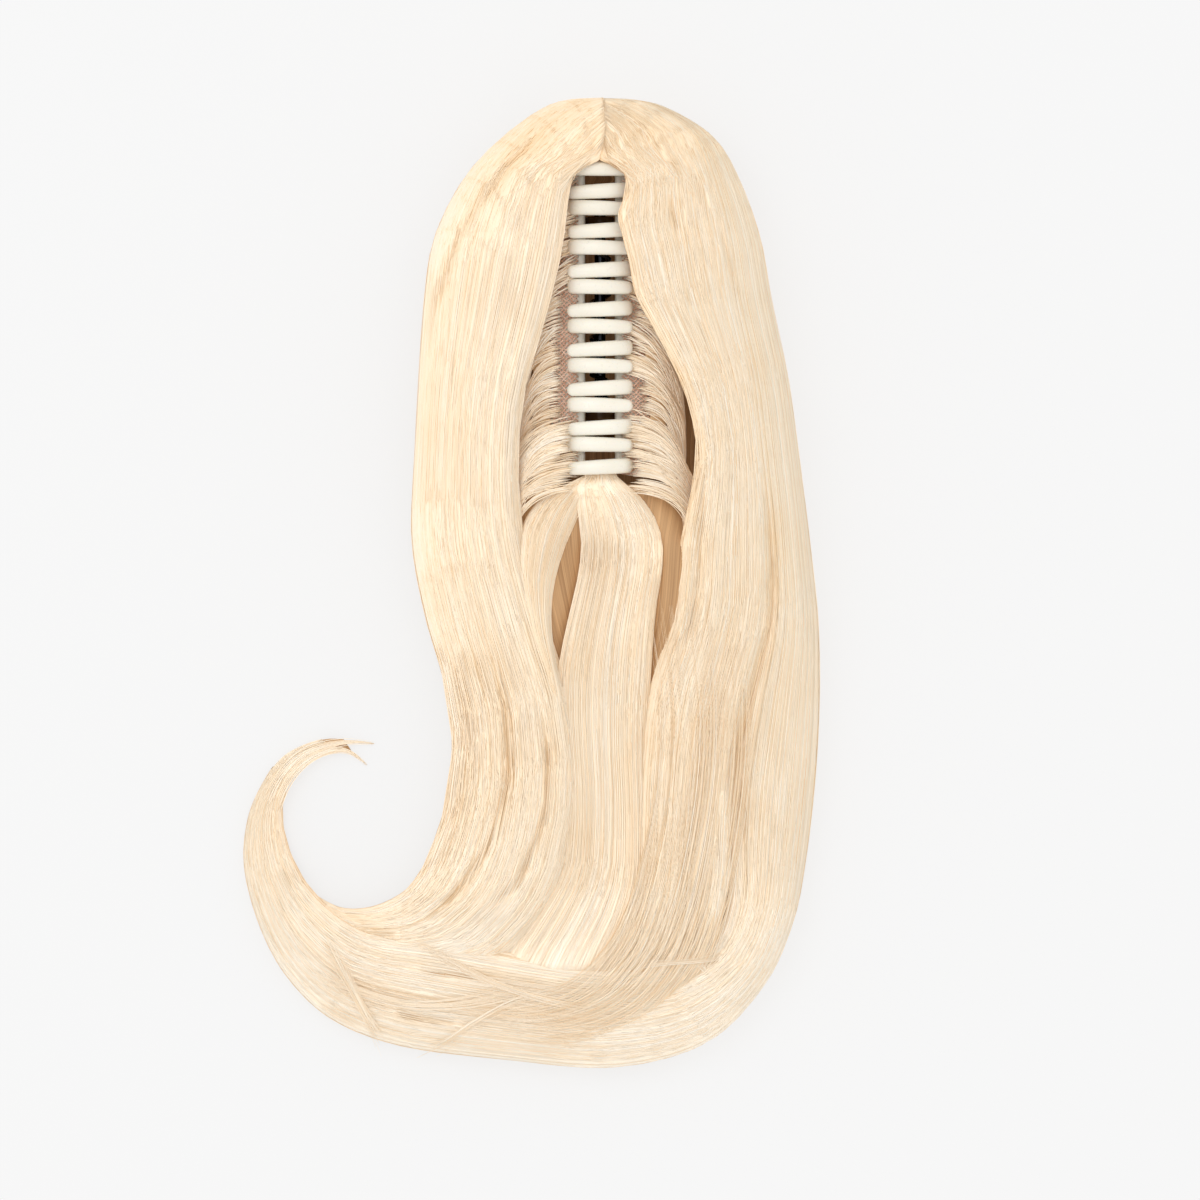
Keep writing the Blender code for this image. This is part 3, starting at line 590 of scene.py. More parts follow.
def shaded_inside_material():
    """The claw's inner face, painted a dark amber as painted shade deep inside the claw, with cloudy colour
    and a gloss.
    """
    material, tree, shader = new_material("shaded_inside_plastic")
    cloud = object_noise(tree, 110.0, 3.0, 0.6)
    # Dark amber colours: painted shade of the claw's inside.
    mottled(tree, shader, "Base Color", cloud, (0.13, 0.07, 0.03), (0.34, 0.20, 0.09))
    shader.inputs["Roughness"].default_value = 0.25
    bump(tree, shader, cloud, 0.1, 0.0002)
    return material


def net_material():
    """Pinkish tan knitted thread: two tones and a twist in relief along each thread."""
    material, tree, shader = new_material("net_thread")
    twist = math_node(tree, "MULTIPLY", mesh_value(tree, "run"), 400.0)
    turn = math_node(tree, "SINE", twist.outputs["Value"])
    tones = ((0.1, (0.66, 0.38, 0.26)), (0.9, (0.90, 0.64, 0.50)))
    colours = ramp(tree, mesh_value(tree, "tone"), tones)
    tree.links.new(colours.outputs["Color"], shader.inputs["Base Color"])
    shader.inputs["Roughness"].default_value = 0.8
    bump(tree, shader, turn.outputs["Value"], 0.4, 0.0001)
    return material


def steel_material():
    """Dark oiled spring steel: drawn marks along the wire and an uneven gloss."""
    material, tree, shader = new_material("dark_steel")
    place = tree.nodes.new("ShaderNodeTexCoord")
    marks = stretched_noise(tree, place.outputs["Object"], (1200.0, 90.0, 1200.0), 3.0, 0.6)
    mottled(tree, shader, "Base Color", marks, (0.035, 0.037, 0.045), (0.09, 0.095, 0.115))
    mottled(tree, shader, "Roughness", marks, (0.16, 0.16, 0.16), (0.30, 0.30, 0.30))
    shader.inputs["Metallic"].default_value = 0.9
    return material


STRANDS = strand_material()
HAIR = hair_material()
PLASTIC = claw_material()
SHADED_INSIDE = shaded_inside_material()
NET_THREAD = net_material()
STEEL = steel_material()


# Claw


def jaw_wall(side):
    """The curved wall and lever: the wall's profile, offset by half its thickness to each side
    with a round rim, carried along the hinge and shortened by each angle's half length."""
    half_stations = np.array([0.35, 0.7, 0.94, EDGE_START, 0.988, 0.997, 1.0])
    stations = np.concatenate([-half_stations[::-1], [0.0], half_stations])
    rows = smooth_table(JAW_ROWS, np.linspace(0.0, len(JAW_ROWS) - 1.0, 46))
    x, z = polar(rows[:, 0], rows[:, 1], side)
    line = np.column_stack([x, z])
    run = np.gradient(line, axis=0)
    run /= np.linalg.norm(run, axis=1, keepdims=True)
    out = np.column_stack([run[:, 1], -run[:, 0]])
    half = WALL_THICKNESS / 2.0
    past = np.clip(np.abs(stations) - EDGE_START, 0.0, 1.0) / EDGE_LENGTH
    ease = np.sqrt(np.clip(1.0 - past ** 2, 0.02, 1.0))
    turn = np.linspace(-math.pi / 2.0, math.pi / 2.0, 7)[1:-1]
    foot = line[-1] + half * (np.outer(np.cos(turn), run[-1]) - np.outer(np.sin(turn), out[-1]))
    rim = line[0] + half * (-np.outer(np.cos(turn), run[0]) + np.outer(np.sin(turn), out[0]))
    ring = np.concatenate([line + half * out, foot, (line - half * out)[::-1], rim])
    order = np.arange(len(rows))
    order = np.concatenate([order, np.full(len(turn), order[-1]), order[::-1], np.zeros(len(turn), int)])
    middle = line[order]
    length = rows[order, 2]
    rings = np.empty((len(stations), len(ring), 3))
    shaped = middle + (ring - middle) * ease[:, None, None]
    rings[..., 0] = shaped[..., 0]
    rings[..., 1] = stations[:, None] * length
    rings[..., 2] = shaped[..., 1]
    return solid_piece("jaw_wall", rings, PLASTIC)


def tooth(side, middle, slope):
    """A tooth: a rounded bar along a smooth line that rises from the rim and hooks over the
    mouth, its section a circle stretched to the tooth's width and thickness."""
    rows = smooth_table(TOOTH_ROWS, np.linspace(0.0, len(TOOTH_ROWS) - 1.0, 40))
    end = np.sqrt(np.clip(1.0 - (np.linspace(0.0, 1.0, 9)) ** 2, 0.0, 1.0))
    x, z = polar(rows[:, 0], rows[:, 1], side)
    y = middle + slope * rows[:, 0] / TOOTH_ROWS[0][0]
    path = np.column_stack([x, y, z])
    run = np.gradient(path, axis=0)
    run /= np.linalg.norm(run, axis=1, keepdims=True)
    along = np.array([0.0, 1.0, 0.0])
    normal = np.cross(run, along)
    normal /= np.linalg.norm(normal, axis=1, keepdims=True)
    turn = np.linspace(0.0, 2.0 * math.pi, 20, endpoint=False)
    power = 0.8
    flat = np.sign(np.cos(turn)) * np.abs(np.cos(turn)) ** power
    rise = np.sign(np.sin(turn)) * np.abs(np.sin(turn)) ** power
    taper = np.ones(len(rows))
    taper[-len(end):] = np.maximum(end, 0.12)
    wide = rows[:, 2] * taper * TOOTH_WIDTH / 2.0
    deep = rows[:, 3] * taper * TOOTH_THICKNESS / 2.0
    rings = path[:, None, :] + wide[:, None, None] * flat[None, :, None] * along
    rings = rings + deep[:, None, None] * rise[None, :, None] * normal[:, None, :]
    return solid_piece("tooth", rings, PLASTIC)


def knuckle(side, middle):
    """A bored barrel round the pin: a rectangle with rounded corners turned about the hinge."""
    half = KNUCKLE_LENGTH / 2.0
    corner = 0.5
    profile = np.array([
        (KNUCKLE_BORE, -half), (KNUCKLE_RADIUS - corner, -half), (KNUCKLE_RADIUS, corner - half),
        (KNUCKLE_RADIUS, half - corner), (KNUCKLE_RADIUS - corner, half), (KNUCKLE_BORE, half)])
    turn = np.linspace(0.0, 2.0 * math.pi, 28, endpoint=False)
    rings = np.empty((len(turn), len(profile), 3))
    rings[..., 0] = np.outer(np.cos(turn), profile[:, 0])
    rings[..., 1] = middle + profile[:, 1]
    rings[..., 2] = HINGE_HEIGHT + np.outer(np.sin(turn), profile[:, 0])
    quads, _ = ring_faces(len(turn), len(profile))
    start = np.arange(len(profile))
    last = (len(turn) - 1) * len(profile) + start
    seam = np.stack([last, np.roll(last, -1), np.roll(start, -1), start], -1)
    no_caps = np.empty((0, 3), int)
    barrel = mesh_piece("barrel", rings.reshape(-1, 3), np.concatenate([quads, seam]), no_caps, {})
    turn_outwards(barrel)
    web_x, web_z = polar(np.array([88.0, 118.0, 118.0, 88.0]), np.array([3.6, 3.6, 8.0, 11.5]), side)
    web = np.empty((2, 4, 3))
    web[..., 0] = web_x
    web[..., 2] = web_z
    web[0, :, 1] = middle - half + 0.1
    web[1, :, 1] = middle + half - 0.1
    return [barrel, solid_piece("web", web, PLASTIC)]


def paint_inside(piece):
    """Gives the inner material, whose dark amber is painted shade, to the faces that lie nearer the hinge
    than the wall's middle.
    """
    count = len(piece.data.polygons)
    centres = np.empty(count * 3)
    piece.data.polygons.foreach_get("center", centres)
    centres = centres.reshape(-1, 3) / MM
    across = np.abs(centres[:, 0])
    above = centres[:, 2] - HINGE_HEIGHT
    angle = np.degrees(np.arctan2(across, above))
    wall = np.array(JAW_ROWS)
    middle = np.interp(angle, wall[:, 0], wall[:, 1])
    inside = (np.hypot(across, above) < middle - 0.4) & (angle < 105.0)
    piece.data.materials.append(SHADED_INSIDE)
    piece.data.polygons.foreach_set("material_index", inside.astype(np.int32))


def jaw(name, node, body, side, first_tooth, slope, knuckle_middles):
    """One half of the claw, which stands for its CAD node."""
    parts = [jaw_wall(side)]
    for number in range(TOOTH_COUNT):
        parts.append(tooth(side, first_tooth - number * TOOTH_PITCH, slope))
    for middle in knuckle_middles:
        parts.extend(knuckle(side, middle))
    piece = joined(name, parts)
    piece.data.set_sharp_from_angle(angle=math.radians(50.0))
    paint_inside(piece)
    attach(piece, body)
    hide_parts(node)
    return piece


right_first_tooth = FIRST_LEFT_TOOTH + RIGHT_TOOTH_OFFSET
jaw_left = jaw("claw_left", "claw_jaw_left", "left_jaw", -1.0, FIRST_LEFT_TOOTH, LEFT_TOOTH_SLOPE,
               (KNUCKLE_INNER, -KNUCKLE_OUTER))
jaw_right = jaw("claw_right", "claw_jaw_right", "right_jaw", 1.0, right_first_tooth, RIGHT_TOOTH_SLOPE,
                (KNUCKLE_OUTER, -KNUCKLE_INNER))


# Net

NET_OFFSET = 2.1
NET_FIRST_ANGLE = 14.5
NET_LAST_ANGLE = 59.0
NET_HALF_LENGTH = 54.2
NET_PITCH = 1.55
NET_THREAD_WIDTH = 0.5
NET_WAVE = 0.22


def net(name, node, body, side, seed):
    """Knitted net over a jaw's wall: two families of slanted threads, each with a small wave,
    laid on the wall's profile, moved outwards and wrapped from the rim to the jaw's waist."""
    wall = smooth_table(JAW_ROWS[:8], np.linspace(0.0, 7.0, 200))
    length = np.radians(NET_LAST_ANGLE - NET_FIRST_ANGLE) * (wall[:, 1].max() + NET_OFFSET)
    lean = 0.8
    steps = 26
    paths = []
    for family in (-1.0, 1.0):
        reach = NET_HALF_LENGTH * 2.0 + length * lean
        starts = np.arange(0.0, reach, NET_PITCH) - NET_HALF_LENGTH - (length * lean if family > 0 else 0.0)
        share = np.linspace(0.0, 1.0, steps)[None, :]
        wave = NET_WAVE * np.sin(share * length / NET_PITCH * math.pi + family)
        y = starts[:, None] + family * share * length * lean + wave
        angle = np.broadcast_to(NET_FIRST_ANGLE + share * (NET_LAST_ANGLE - NET_FIRST_ANGLE), y.shape)
        lift = NET_OFFSET + NET_WAVE * family * np.cos(share * length / NET_PITCH * math.pi * 2.0)
        radius = np.interp(angle, wall[:, 0], wall[:, 1]) + lift
        x, z = polar(angle, radius, side)
        y = np.clip(y, -NET_HALF_LENGTH, NET_HALF_LENGTH)
        path = np.stack([x, y, z], -1)
        inside = (np.abs(y) < NET_HALF_LENGTH - 0.01).sum(axis=1) > steps * 0.35
        paths.append(path[inside])
    paths = np.concatenate(paths)
    random = np.random.default_rng(seed)
    tone = random.uniform(0.0, 1.0, len(paths))
    wide = np.full(paths.shape[:2], NET_THREAD_WIDTH)
    piece = strand_piece(name, paths, wide, wide, tone, NET_THREAD, sides=4)
    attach(piece, body)
    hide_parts(node)


net("net_left_threads", "net_left", "left_jaw", -1.0, 31)
net("net_right_threads", "net_right", "right_jaw", 1.0, 32)

for label in ("hinge_pin", "hinge_spring"):
    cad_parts[label].data.materials.clear()
    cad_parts[label].data.materials.append(STEEL)


# Hair: each mass is a closed skin whose mesh follows the hair's flow, with strands on it


def seam_place(rows, column):
    """The place of a seam at row numbers: 1 and 2 are the masses' inner edges, 3 the groove."""
    table = np.array(SEAM_PLACES)
    index = np.interp(rows, table[:, 0], np.arange(len(table)))
    return smooth_table(table, index)[..., column]


def left_edge(rows):
    """Place of the left outline."""
    return np.zeros_like(rows)


def right_edge(rows):
    """Place of the right outline."""
    return np.ones_like(rows)


def left_lip(rows):
    """Place of the left mass's inner edge."""
    return seam_place(rows, 1)


def right_lip(rows):
    """Place of the right mass's inner edge."""
    return seam_place(rows, 2)


def sweep_groove(rows):
    """Place of the groove between the right mass and the sweep."""
    return seam_place(rows, 3)


def groove_relief(flat):
    """Depth and painted shade of the grooves at points in plan: for each groove a bell of the
    distance to its nearest stretch, which fades at both of its ends."""
    depth = np.zeros(flat.shape[:-1])
    dark = np.zeros(flat.shape[:-1])
    for deep, half, shade, points in GROOVES:
        line = np.array(points)
        near = np.full(flat.shape[:-1], 1e9)
        place = np.zeros(flat.shape[:-1])
        stretches = len(line) - 1.0
        for number in range(len(line) - 1):
            run = line[number + 1] - line[number]
            share = np.clip(((flat - line[number]) @ run) / (run @ run), 0.0, 1.0)
            gap = np.linalg.norm(flat - line[number] - share[..., None] * run, axis=-1)
            place = np.where(gap < near, (number + share) / stretches, place)
            near = np.minimum(near, gap)
        fade = step_between(place, -0.02, 0.25) * (1.0 - step_between(place, 0.75, 1.02))
        bell = np.exp(-(near / half) ** 2) * fade
        depth = np.maximum(depth, deep * bell)
        dark = np.maximum(dark, shade * bell)
    return depth, dark


def lock_relief(share, run, locks, seed):
    """Rise and shade that neighbours share: smooth random lines across the mass, for broad locks
    and for fine ones, that each turn slowly into another line along the run."""
    broad = along_wander(share, wander(locks, seed)) * (1.0 - run)
    broad = broad + along_wander(share, wander(locks, seed + 1)) * run
    fine = along_wander(share, wander(locks * 6, seed + 2)) * (1.0 - run)
    fine = fine + along_wander(share, wander(locks * 6, seed + 3)) * run
    return broad, fine


def side_flow(share, run, outer, inner, first, last, root):
    """Points of a mass: a strand leaves the parting at its own row, eases to its share of the
    way from the outer to the inner edge, and follows it down the rows."""
    start = first[0] + (first[1] - first[0]) * share ** 1.5
    end = last[0] + (last[1] - last[0]) * share
    rows = start + (end - start) * run
    target = outer(rows) + (inner(rows) - outer(rows)) * share
    spread = 0.22 + 1.7 * share * (1.0 - share)
    place = target + (root - target) * np.exp(-(rows - start) / spread)
    return hair_surface(rows, place), rows


def left_flow(share, run):
    """The left mass, from the left outline to its inner edge."""
    return side_flow(share, run, left_edge, left_lip, (0.1, 2.72), (20.0, 16.4), PARTING_LEFT)


def right_flow(share, run):
    """The right mass, from the groove beside the sweep to its inner edge."""
    return side_flow(share, run, sweep_groove, right_lip, (0.35, 2.72), (14.4, 14.9), PARTING_RIGHT)


def sweep_edge(rows):
    """The sweep's upper edge in plan: the groove to row 12, then its own line, then the inner
    edge of the curl."""
    groove = hair_surface(rows, sweep_groove(np.minimum(rows, 16.0)) - 0.01)[..., :2]
    crossing = smooth_table(SWEEP_EDGE, rows - SWEEP_FIRST_ROW)
    inner = hair_surface(rows, left_edge(rows))[..., :2]
    to_crossing = step_between(rows, SWEEP_FIRST_ROW - 0.5, SWEEP_FIRST_ROW + 0.5)[..., None]
    to_inner = step_between(rows, 21.0, 22.5)[..., None]
    line = groove + (crossing - groove) * to_crossing
    return line + (inner - line) * to_inner


SWEEP_LAST_ROW = 25.9


def sweep_flow(share, run):
    """The outer sweep, from the right outline to its upper edge: down the side, across the
    bottom and round the curl."""
    start = 0.1 + 0.3 * share
    rows = start + (SWEEP_LAST_ROW - start) * run
    outline = hair_surface(rows, right_edge(rows))
    edge = sweep_edge(rows)
    flat = outline[..., :2] + (edge - outline[..., :2]) * share[..., None]
    root = hair_surface(rows, PARTING_RIGHT)[..., :2]
    flat = flat + (root - flat) * np.exp(-(rows - start) / 0.22)[..., None]
    place = 1.0 + (sweep_groove(np.minimum(rows, 12.0)) - 1.0) * share
    upper = hair_surface(rows, place)[..., 2]
    crest = smooth_table(HAIR_ROWS, rows)[..., 4]
    rounded = np.maximum(1.0 - np.abs(2.0 * share - 1.0) ** 2.5, 0.0) ** 0.4
    low = crest * (WIDEST_HEIGHT + (1.0 - WIDEST_HEIGHT) * rounded)
    lower = np.where(share < 0.5, low, np.maximum(low, height_at(flat[..., 0], flat[..., 1])))
    to_lower = step_between(rows, 11.0, 13.5)
    to_curl = step_between(rows, 20.0, 22.0)
    lower = lower + (low - lower) * to_curl
    height = upper + (lower - upper) * to_lower
    return np.concatenate([flat, height[..., None]], -1), rows


# Centre lock and its left branch in plan: y, left x, right x.
CENTRE_ROWS = (
    (-50.5, -3.8, 4.4), (-54.5, -4.4, 5.0), (-58.0, -7.6, 9.0), (-62.0, -8.0, 14.0),
    (-69.0, -7.5, 18.8), (-77.5, -6.5, 21.5), (-87.0, -7.2, 21.5), (-98.0, -9.5, 19.8),
    (-110.0, -12.3, 18.5), (-122.0, -14.5, 17.8), (-136.0, -15.0, 17.0), (-150.0, -14.0, 16.5),
    (-165.0, -13.0, 17.0), (-180.0, -13.5, 17.5), (-195.0, -16.0, 17.5), (-210.0, -25.0, 15.0),
    (-228.0, -36.0, 8.0),
)
BRANCH_ROWS = (
    (-54.0, -4.2, -1.0), (-58.0, -12.0, -3.5), (-64.0, -22.0, -5.5), (-72.0, -27.0, -9.0),
    (-80.0, -28.0, -12.5), (-90.0, -28.0, -15.5), (-100.0, -26.0, -17.0), (-110.0, -23.5, -16.8),
    (-120.0, -20.0, -15.5), (-130.0, -17.5, -13.5), (-142.0, -15.0, -11.0),
)
SADDLE_RADIUS = 35.4
SADDLE_START = 57.0
SADDLE_END = 86.0
SADDLE_DIP = 4.8
DIP_START = 53.8
DIP_END = 58.5


def saddle_height(flat, lift):
    """Height of the hair that leaves the claw's lower end: a cylinder about the hinge there,
    and the hair's own form plus a lift further down. It dips in under the last teeth."""
    cylinder = HINGE_HEIGHT + np.sqrt(np.maximum(SADDLE_RADIUS ** 2 - flat[..., 0] ** 2, 60.0))
    form = height_at(flat[..., 0], flat[..., 1]) + lift
    height = cylinder + (form - cylinder) * step_between(-flat[..., 1], SADDLE_START, SADDLE_END)
    return height - SADDLE_DIP * (1.0 - step_between(-flat[..., 1], DIP_START, DIP_END))


def table_flow(share, run, table, lift, tuck):
    """A lock between two lines in plan, with rounded edges and a lower end that tucks under."""
    share, run = np.broadcast_arrays(share, run)
    y = table[0][0] + (table[-1][0] - table[0][0]) * run
    rows = np.array(table)
    index = np.interp(-y, -rows[:, 0], np.arange(len(rows)))
    section = smooth_table(rows, index)
    x = section[..., 1] + (section[..., 2] - section[..., 1]) * share
    flat = np.stack([x, y], -1)
    edge = 3.2 * np.abs(2.0 * share - 1.0) ** 4 * step_between(run, 0.0, 0.15)
    height = saddle_height(flat, lift) - edge - tuck * step_between(run, 0.80, 1.0)
    return np.concatenate([flat, height[..., None]], -1), -y


def centre_flow(share, run):
    """The centre lock, which lies lower where the left mass runs over it."""
    points, rows = table_flow(share, run, CENTRE_ROWS, 2.6, 0.0)
    lower = 3.0 * step_between(rows, 105.0, 135.0)
    return points - lower[..., None] * UP, rows


def branch_flow(share, run):
    """The centre lock's left branch, which runs in under the left mass."""
    return table_flow(share, run, BRANCH_ROWS, 1.8, 4.0)


# Masses: flow, number of broad locks, seed, roll of the inner edge, tuck of the end.
LEFT_MASS = (left_flow, 9, 100, 3.6, 5.0)
RIGHT_MASS = (right_flow, 8, 140, 3.6, 4.0)
SWEEP = (sweep_flow, 6, 180, 2.4, 0.6)
CENTRE_LOCK = (centre_flow, 5, 220, 0.0, 0.0)
CENTRE_BRANCH = (branch_flow, 3, 240, 0.0, 0.0)
LOWEST_SKIN = 0.6

# Relief and tone that skins and strands share, in millimetres and on the tone scale.
BROAD_RISE = 0.70
FINE_RISE = 0.10
THIN_HAIR = 16.0
MIDDLE_TONE = 0.71
BROAD_TONE = 0.07
FINE_TONE = 0.06
# EDGE_DARKER is painted shade on a mass's inner edge, where it rolls under.
EDGE_DARKER = 0.10
CROWN_DARKER = 0.16
ENDS_PALER = 0.13
# The skins' dark undersides are painted shade.
UNDERSIDE_TONE = 0.30
# The underside keeps every sixth point of the top, in the opposite order.
UNDER_STEP = -6


def dressed(mass, share, run):
    """A mass's points with their relief, and their shade: locks, grooves, a rounded inner edge
    and an end that tucks under. The relief fades where the hair is thin."""
    flow, locks, seed, edge, tuck = mass
    points, rows = flow(share, run)
    share, run = np.broadcast_arrays(share, run)
    broad, fine = lock_relief(share, run, locks, seed)
    depth, dark = groove_relief(points[..., :2])
    rolled = edge * (0.3 + 0.7 * step_between(rows, 5.0, 6.5))
    roll = rolled * step_between(share, 0.86, 1.0) ** 2
    rise = BROAD_RISE * broad + FINE_RISE * fine - depth - roll - tuck * step_between(run, 0.88, 1.0)
    rise = rise * np.clip(points[..., 2] / THIN_HAIR, 0.1, 1.0)
    points = points + rise[..., None] * UP
    points[..., 2] = np.maximum(points[..., 2], LOWEST_SKIN)
    # The tone follows the locks' rise: partly the locks' own random tone, partly painted shade on the lower
    # ones; the grooves' darkening is painted shade.
    shade = MIDDLE_TONE + BROAD_TONE * broad + FINE_TONE * fine - dark
    # Painted shade along the mass's inner edge, where it rolls under.
    shade = shade - EDGE_DARKER * step_between(share, 0.93, 1.0)
    shade = shade - CROWN_DARKER * step_between(points[..., 1], 30.0, 68.0)
    shade = shade + ENDS_PALER * step_between(-points[..., 1], 185.0, 225.0)
    return points, shade


def fade_in(stations, power):
    """Station numbers from 0 to 1 with more of them near the start."""
    return np.linspace(0.0, 1.0, stations) ** power


def skin(name, node, mass, stations, across, thick, floor, wall):
    """A closed sheet through a mass's points and under them; with a wall its outer edge runs
    down to the floor."""
    run = fade_in(stations, 1.25)[:, None]
    share = (0.5 - 0.5 * np.cos(np.linspace(0.0, math.pi, across)))[None, :]
    top, shade = dressed(mass, share, run)
    under = top[:, ::UNDER_STEP] - thick * UP
    under[..., 2] = np.maximum(under[..., 2], floor + 0.2)
    parts = [top, under]
    # The underside's dark tone is painted shade.
    shades = [shade, np.full_like(shade[:, ::UNDER_STEP], UNDERSIDE_TONE)]
    if wall:
        foot = top[:, :1].copy()
        inward = top[:, across // 5: across // 5 + 1] - foot
        inward[..., 2] = 0.0
        inward /= np.maximum(np.linalg.norm(inward, axis=-1, keepdims=True), 1e-6)
        foot[..., 2] = floor
        low = foot.copy()
        low[..., 2] = floor + 0.45 * (top[:, :1, 2] - floor)
        parts = [top, under[:, :-1], foot + 6.0 * inward, foot + 2.2 * inward, low + 0.4 * inward]
        # The wall darkens towards its foot on the floor as painted shade.
        edge_shade = shade[:, :1]
        shades = [shade, shades[1][:, :-1], edge_shade * 0.6, edge_shade * 0.9, edge_shade]
    settle(solid_piece(name, np.concatenate(parts, 1), HAIR, tones=np.concatenate(shades, 1)), "root", node)


def settle(piece, body, node=None):
    """Puts a hair piece on its body and in place of its CAD node."""
    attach(piece, body)
    if node:
        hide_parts(node)


skin("left_mass_skin", "hair_left_side", LEFT_MASS, 150, 84, 1.7, ABOVE_LAYER, True)
skin("right_mass_skin", "hair_right_side", RIGHT_MASS, 120, 84, 1.7, ABOVE_LAYER, False)
skin("sweep_skin", "hair_tail", SWEEP, 240, 60, 1.2, ABOVE_TABLE, True)
skin("centre_lock_skin", "hair_centre_lock", CENTRE_LOCK, 90, 50, 2.0, ABOVE_LAYER, False)
skin("centre_branch_skin", "hair_centre_lock", CENTRE_BRANCH, 50, 30, 2.0, ABOVE_LAYER, False)


# Deep hair inside the skins

SINK = 3.4
LIP_SINK = 3.6


def deep_tones(rings, rows):
    """Deep hair is a golden brown that is painted shade between the locks, and pale where it shows at the
    crown's end.
    """
    # The low tone 0.11 is painted shade for the gaps between the locks.
    tones = 0.11 + 0.54 * (1.0 - step_between(rows, 0.3, 0.9))
    return np.broadcast_to(tones[:, None], rings.shape[:2])


def deep_piece(name, node, ring, rows):
    """A closed solid of deep hair, in place of part of a node."""
    settle(solid_piece(name, ring, HAIR, tones=deep_tones(ring, rows)), "root", node)


def side_body(name, node, side, lip):
    """A side's inner hair: at each row a closed ring that runs from the foot up the outer wall,
    over the dome to the lip, down the claw's hollow and back along the floor."""
    rows = np.linspace(0.14, 12.6, 170)
    outer = 0.0 if side < 0 else 1.0
    seam = lip(rows)
    shares = 1.0 - np.cos(np.linspace(0.0, math.pi / 2.0, 20))
    places = outer + (seam[:, None] - outer) * (0.05 + 0.95 * shares[None, :])
    top = hair_surface(rows[:, None], places)
    flat_shares = np.broadcast_to(shares[None, :], top.shape[:2])
    at_lip = step_between(flat_shares, 0.8, 1.0) * step_between(rows, 5.0, 6.5)[:, None]
    top[..., 2] -= SINK + LIP_SINK * at_lip
    lip_point = top[:, -1]
    mouth = step_between(HOLLOW_HALF_LENGTH + 1.2 - np.abs(lip_point[:, 1]), 0.0, 1.2)
    share = np.linspace(0.06, 1.0, 12)
    lip_angle = np.degrees(np.arcsin(np.clip(np.abs(lip_point[:, 0]) / HOLLOW_RADIUS, 0.02, 0.99)))
    angle = lip_angle[:, None] + (HOLLOW_LAST_ANGLE - lip_angle[:, None]) * share[None, :]
    table = np.array(HOLLOW_ROWS)
    arc_x, arc_z = polar(angle, np.interp(angle, table[:, 0], table[:, 1]), side)
    drop_z = lip_point[:, 2:3] + (ABOVE_LAYER - lip_point[:, 2:3]) * share[None, :]
    wall = np.empty((len(rows), len(share), 3))
    wall[..., 0] = lip_point[:, 0:1] + (arc_x - lip_point[:, 0:1]) * mouth[:, None]
    wall[..., 1] = lip_point[:, 1:2]
    wall[..., 2] = drop_z + (np.minimum(arc_z, lip_point[:, 2:3]) - drop_z) * mouth[:, None]
    foot = hair_surface(rows, np.full(len(rows), abs(outer - FOOT_INSET)))
    low = hair_surface(rows, np.full(len(rows), abs(outer - 0.03)))
    low[:, 2] = ABOVE_LAYER + 0.35 * (low[:, 2] - ABOVE_LAYER)
    foot[:, 2] = ABOVE_LAYER
    inner_foot = wall[:, -1].copy()
    inner_foot[:, 2] = ABOVE_LAYER
    feet = np.stack([inner_foot, (foot + inner_foot) / 2.0, foot, low], axis=1)
    deep_piece(name, node, np.concatenate([top, wall, feet], 1), rows)


def centre_body():
    """The hair under the centre lock, from the hollow's lower end to under the sweep."""
    rows = np.linspace(7.33, 13.0, 46)
    share = np.linspace(0.0, 1.0, 26)[None, :]
    left = left_lip(rows)[:, None] - 0.015
    right = right_lip(rows)[:, None] + 0.015
    top = hair_surface(rows[:, None], left + (right - left) * share)
    top[..., 2] = saddle_height(top[..., :2], 0.0) - 2.6 - 3.0 * step_between(rows, 8.8, 10.0)[:, None]
    feet = top[:, [-1, 0]].copy()
    feet[..., 2] = ABOVE_LAYER
    deep_piece("centre_deep_hair", "hair_centre_lock", np.concatenate([top, feet], 1), rows)


def tail_body():
    """The hair under the sweep and the ends of the masses, to near the curl's tip."""
    rows = np.linspace(12.0, LAST_ROW - 0.6, 90)
    shares = 0.5 - 0.5 * np.cos(np.linspace(0.0, math.pi, 30))
    top = hair_surface(rows[:, None], (0.05 + 0.90 * shares)[None, :])
    thin = 1.0 - step_between(rows, 17.0, 22.0) * 0.25
    sunk = top[..., 2] - SINK * (1.2 - step_between(rows, 18.0, 24.0))[:, None]
    top[..., 2] = np.maximum(sunk * thin[:, None], 0.9)
    feet = hair_surface(rows[:, None], np.array([[0.92, 0.08]]))
    feet[..., 2] = ABOVE_TABLE
    deep_piece("tail_deep_hair", "hair_tail", np.concatenate([top, feet], 1), rows)


def back_layer():
    """The layer that lies on the table: a flat slab on the hair's outline with round edges, dark
    with painted shade on its hidden upper face."""
    rows = np.linspace(0.1, 12.4, 80)
    heights = np.array([0.0, 0.6, 2.5, 4.4, LAYER_HEIGHT])
    bulge = np.array([0.012, 0.004, 0.0, 0.004, 0.012])
    left = hair_surface(rows[:, None], 0.03 + bulge[None, :])
    right = hair_surface(rows[:, None], 0.97 - bulge[None, ::-1])
    left[..., 2] = heights
    right[..., 2] = heights[::-1]
    ring = np.concatenate([left, right], 1)
    tones = np.full(ring.shape[:2], 0.6)
    # Painted shade on the upper face, seen through the claw's mouth.
    tones[:, 4:6] = 0.05
    settle(solid_piece("back_layer_hair", ring, HAIR, tones=tones), "root", "hair_back_layer")


side_body("left_deep_hair", "hair_left_side", -1.0, left_lip)
side_body("right_deep_hair", "hair_right_side", 1.0, right_lip)
centre_body()
tail_body()
back_layer()


# Strands on the skins

STRAND_WIDTH = 0.34
STRAND_DEPTH = 0.13
STRAND_LIFT = 0.32


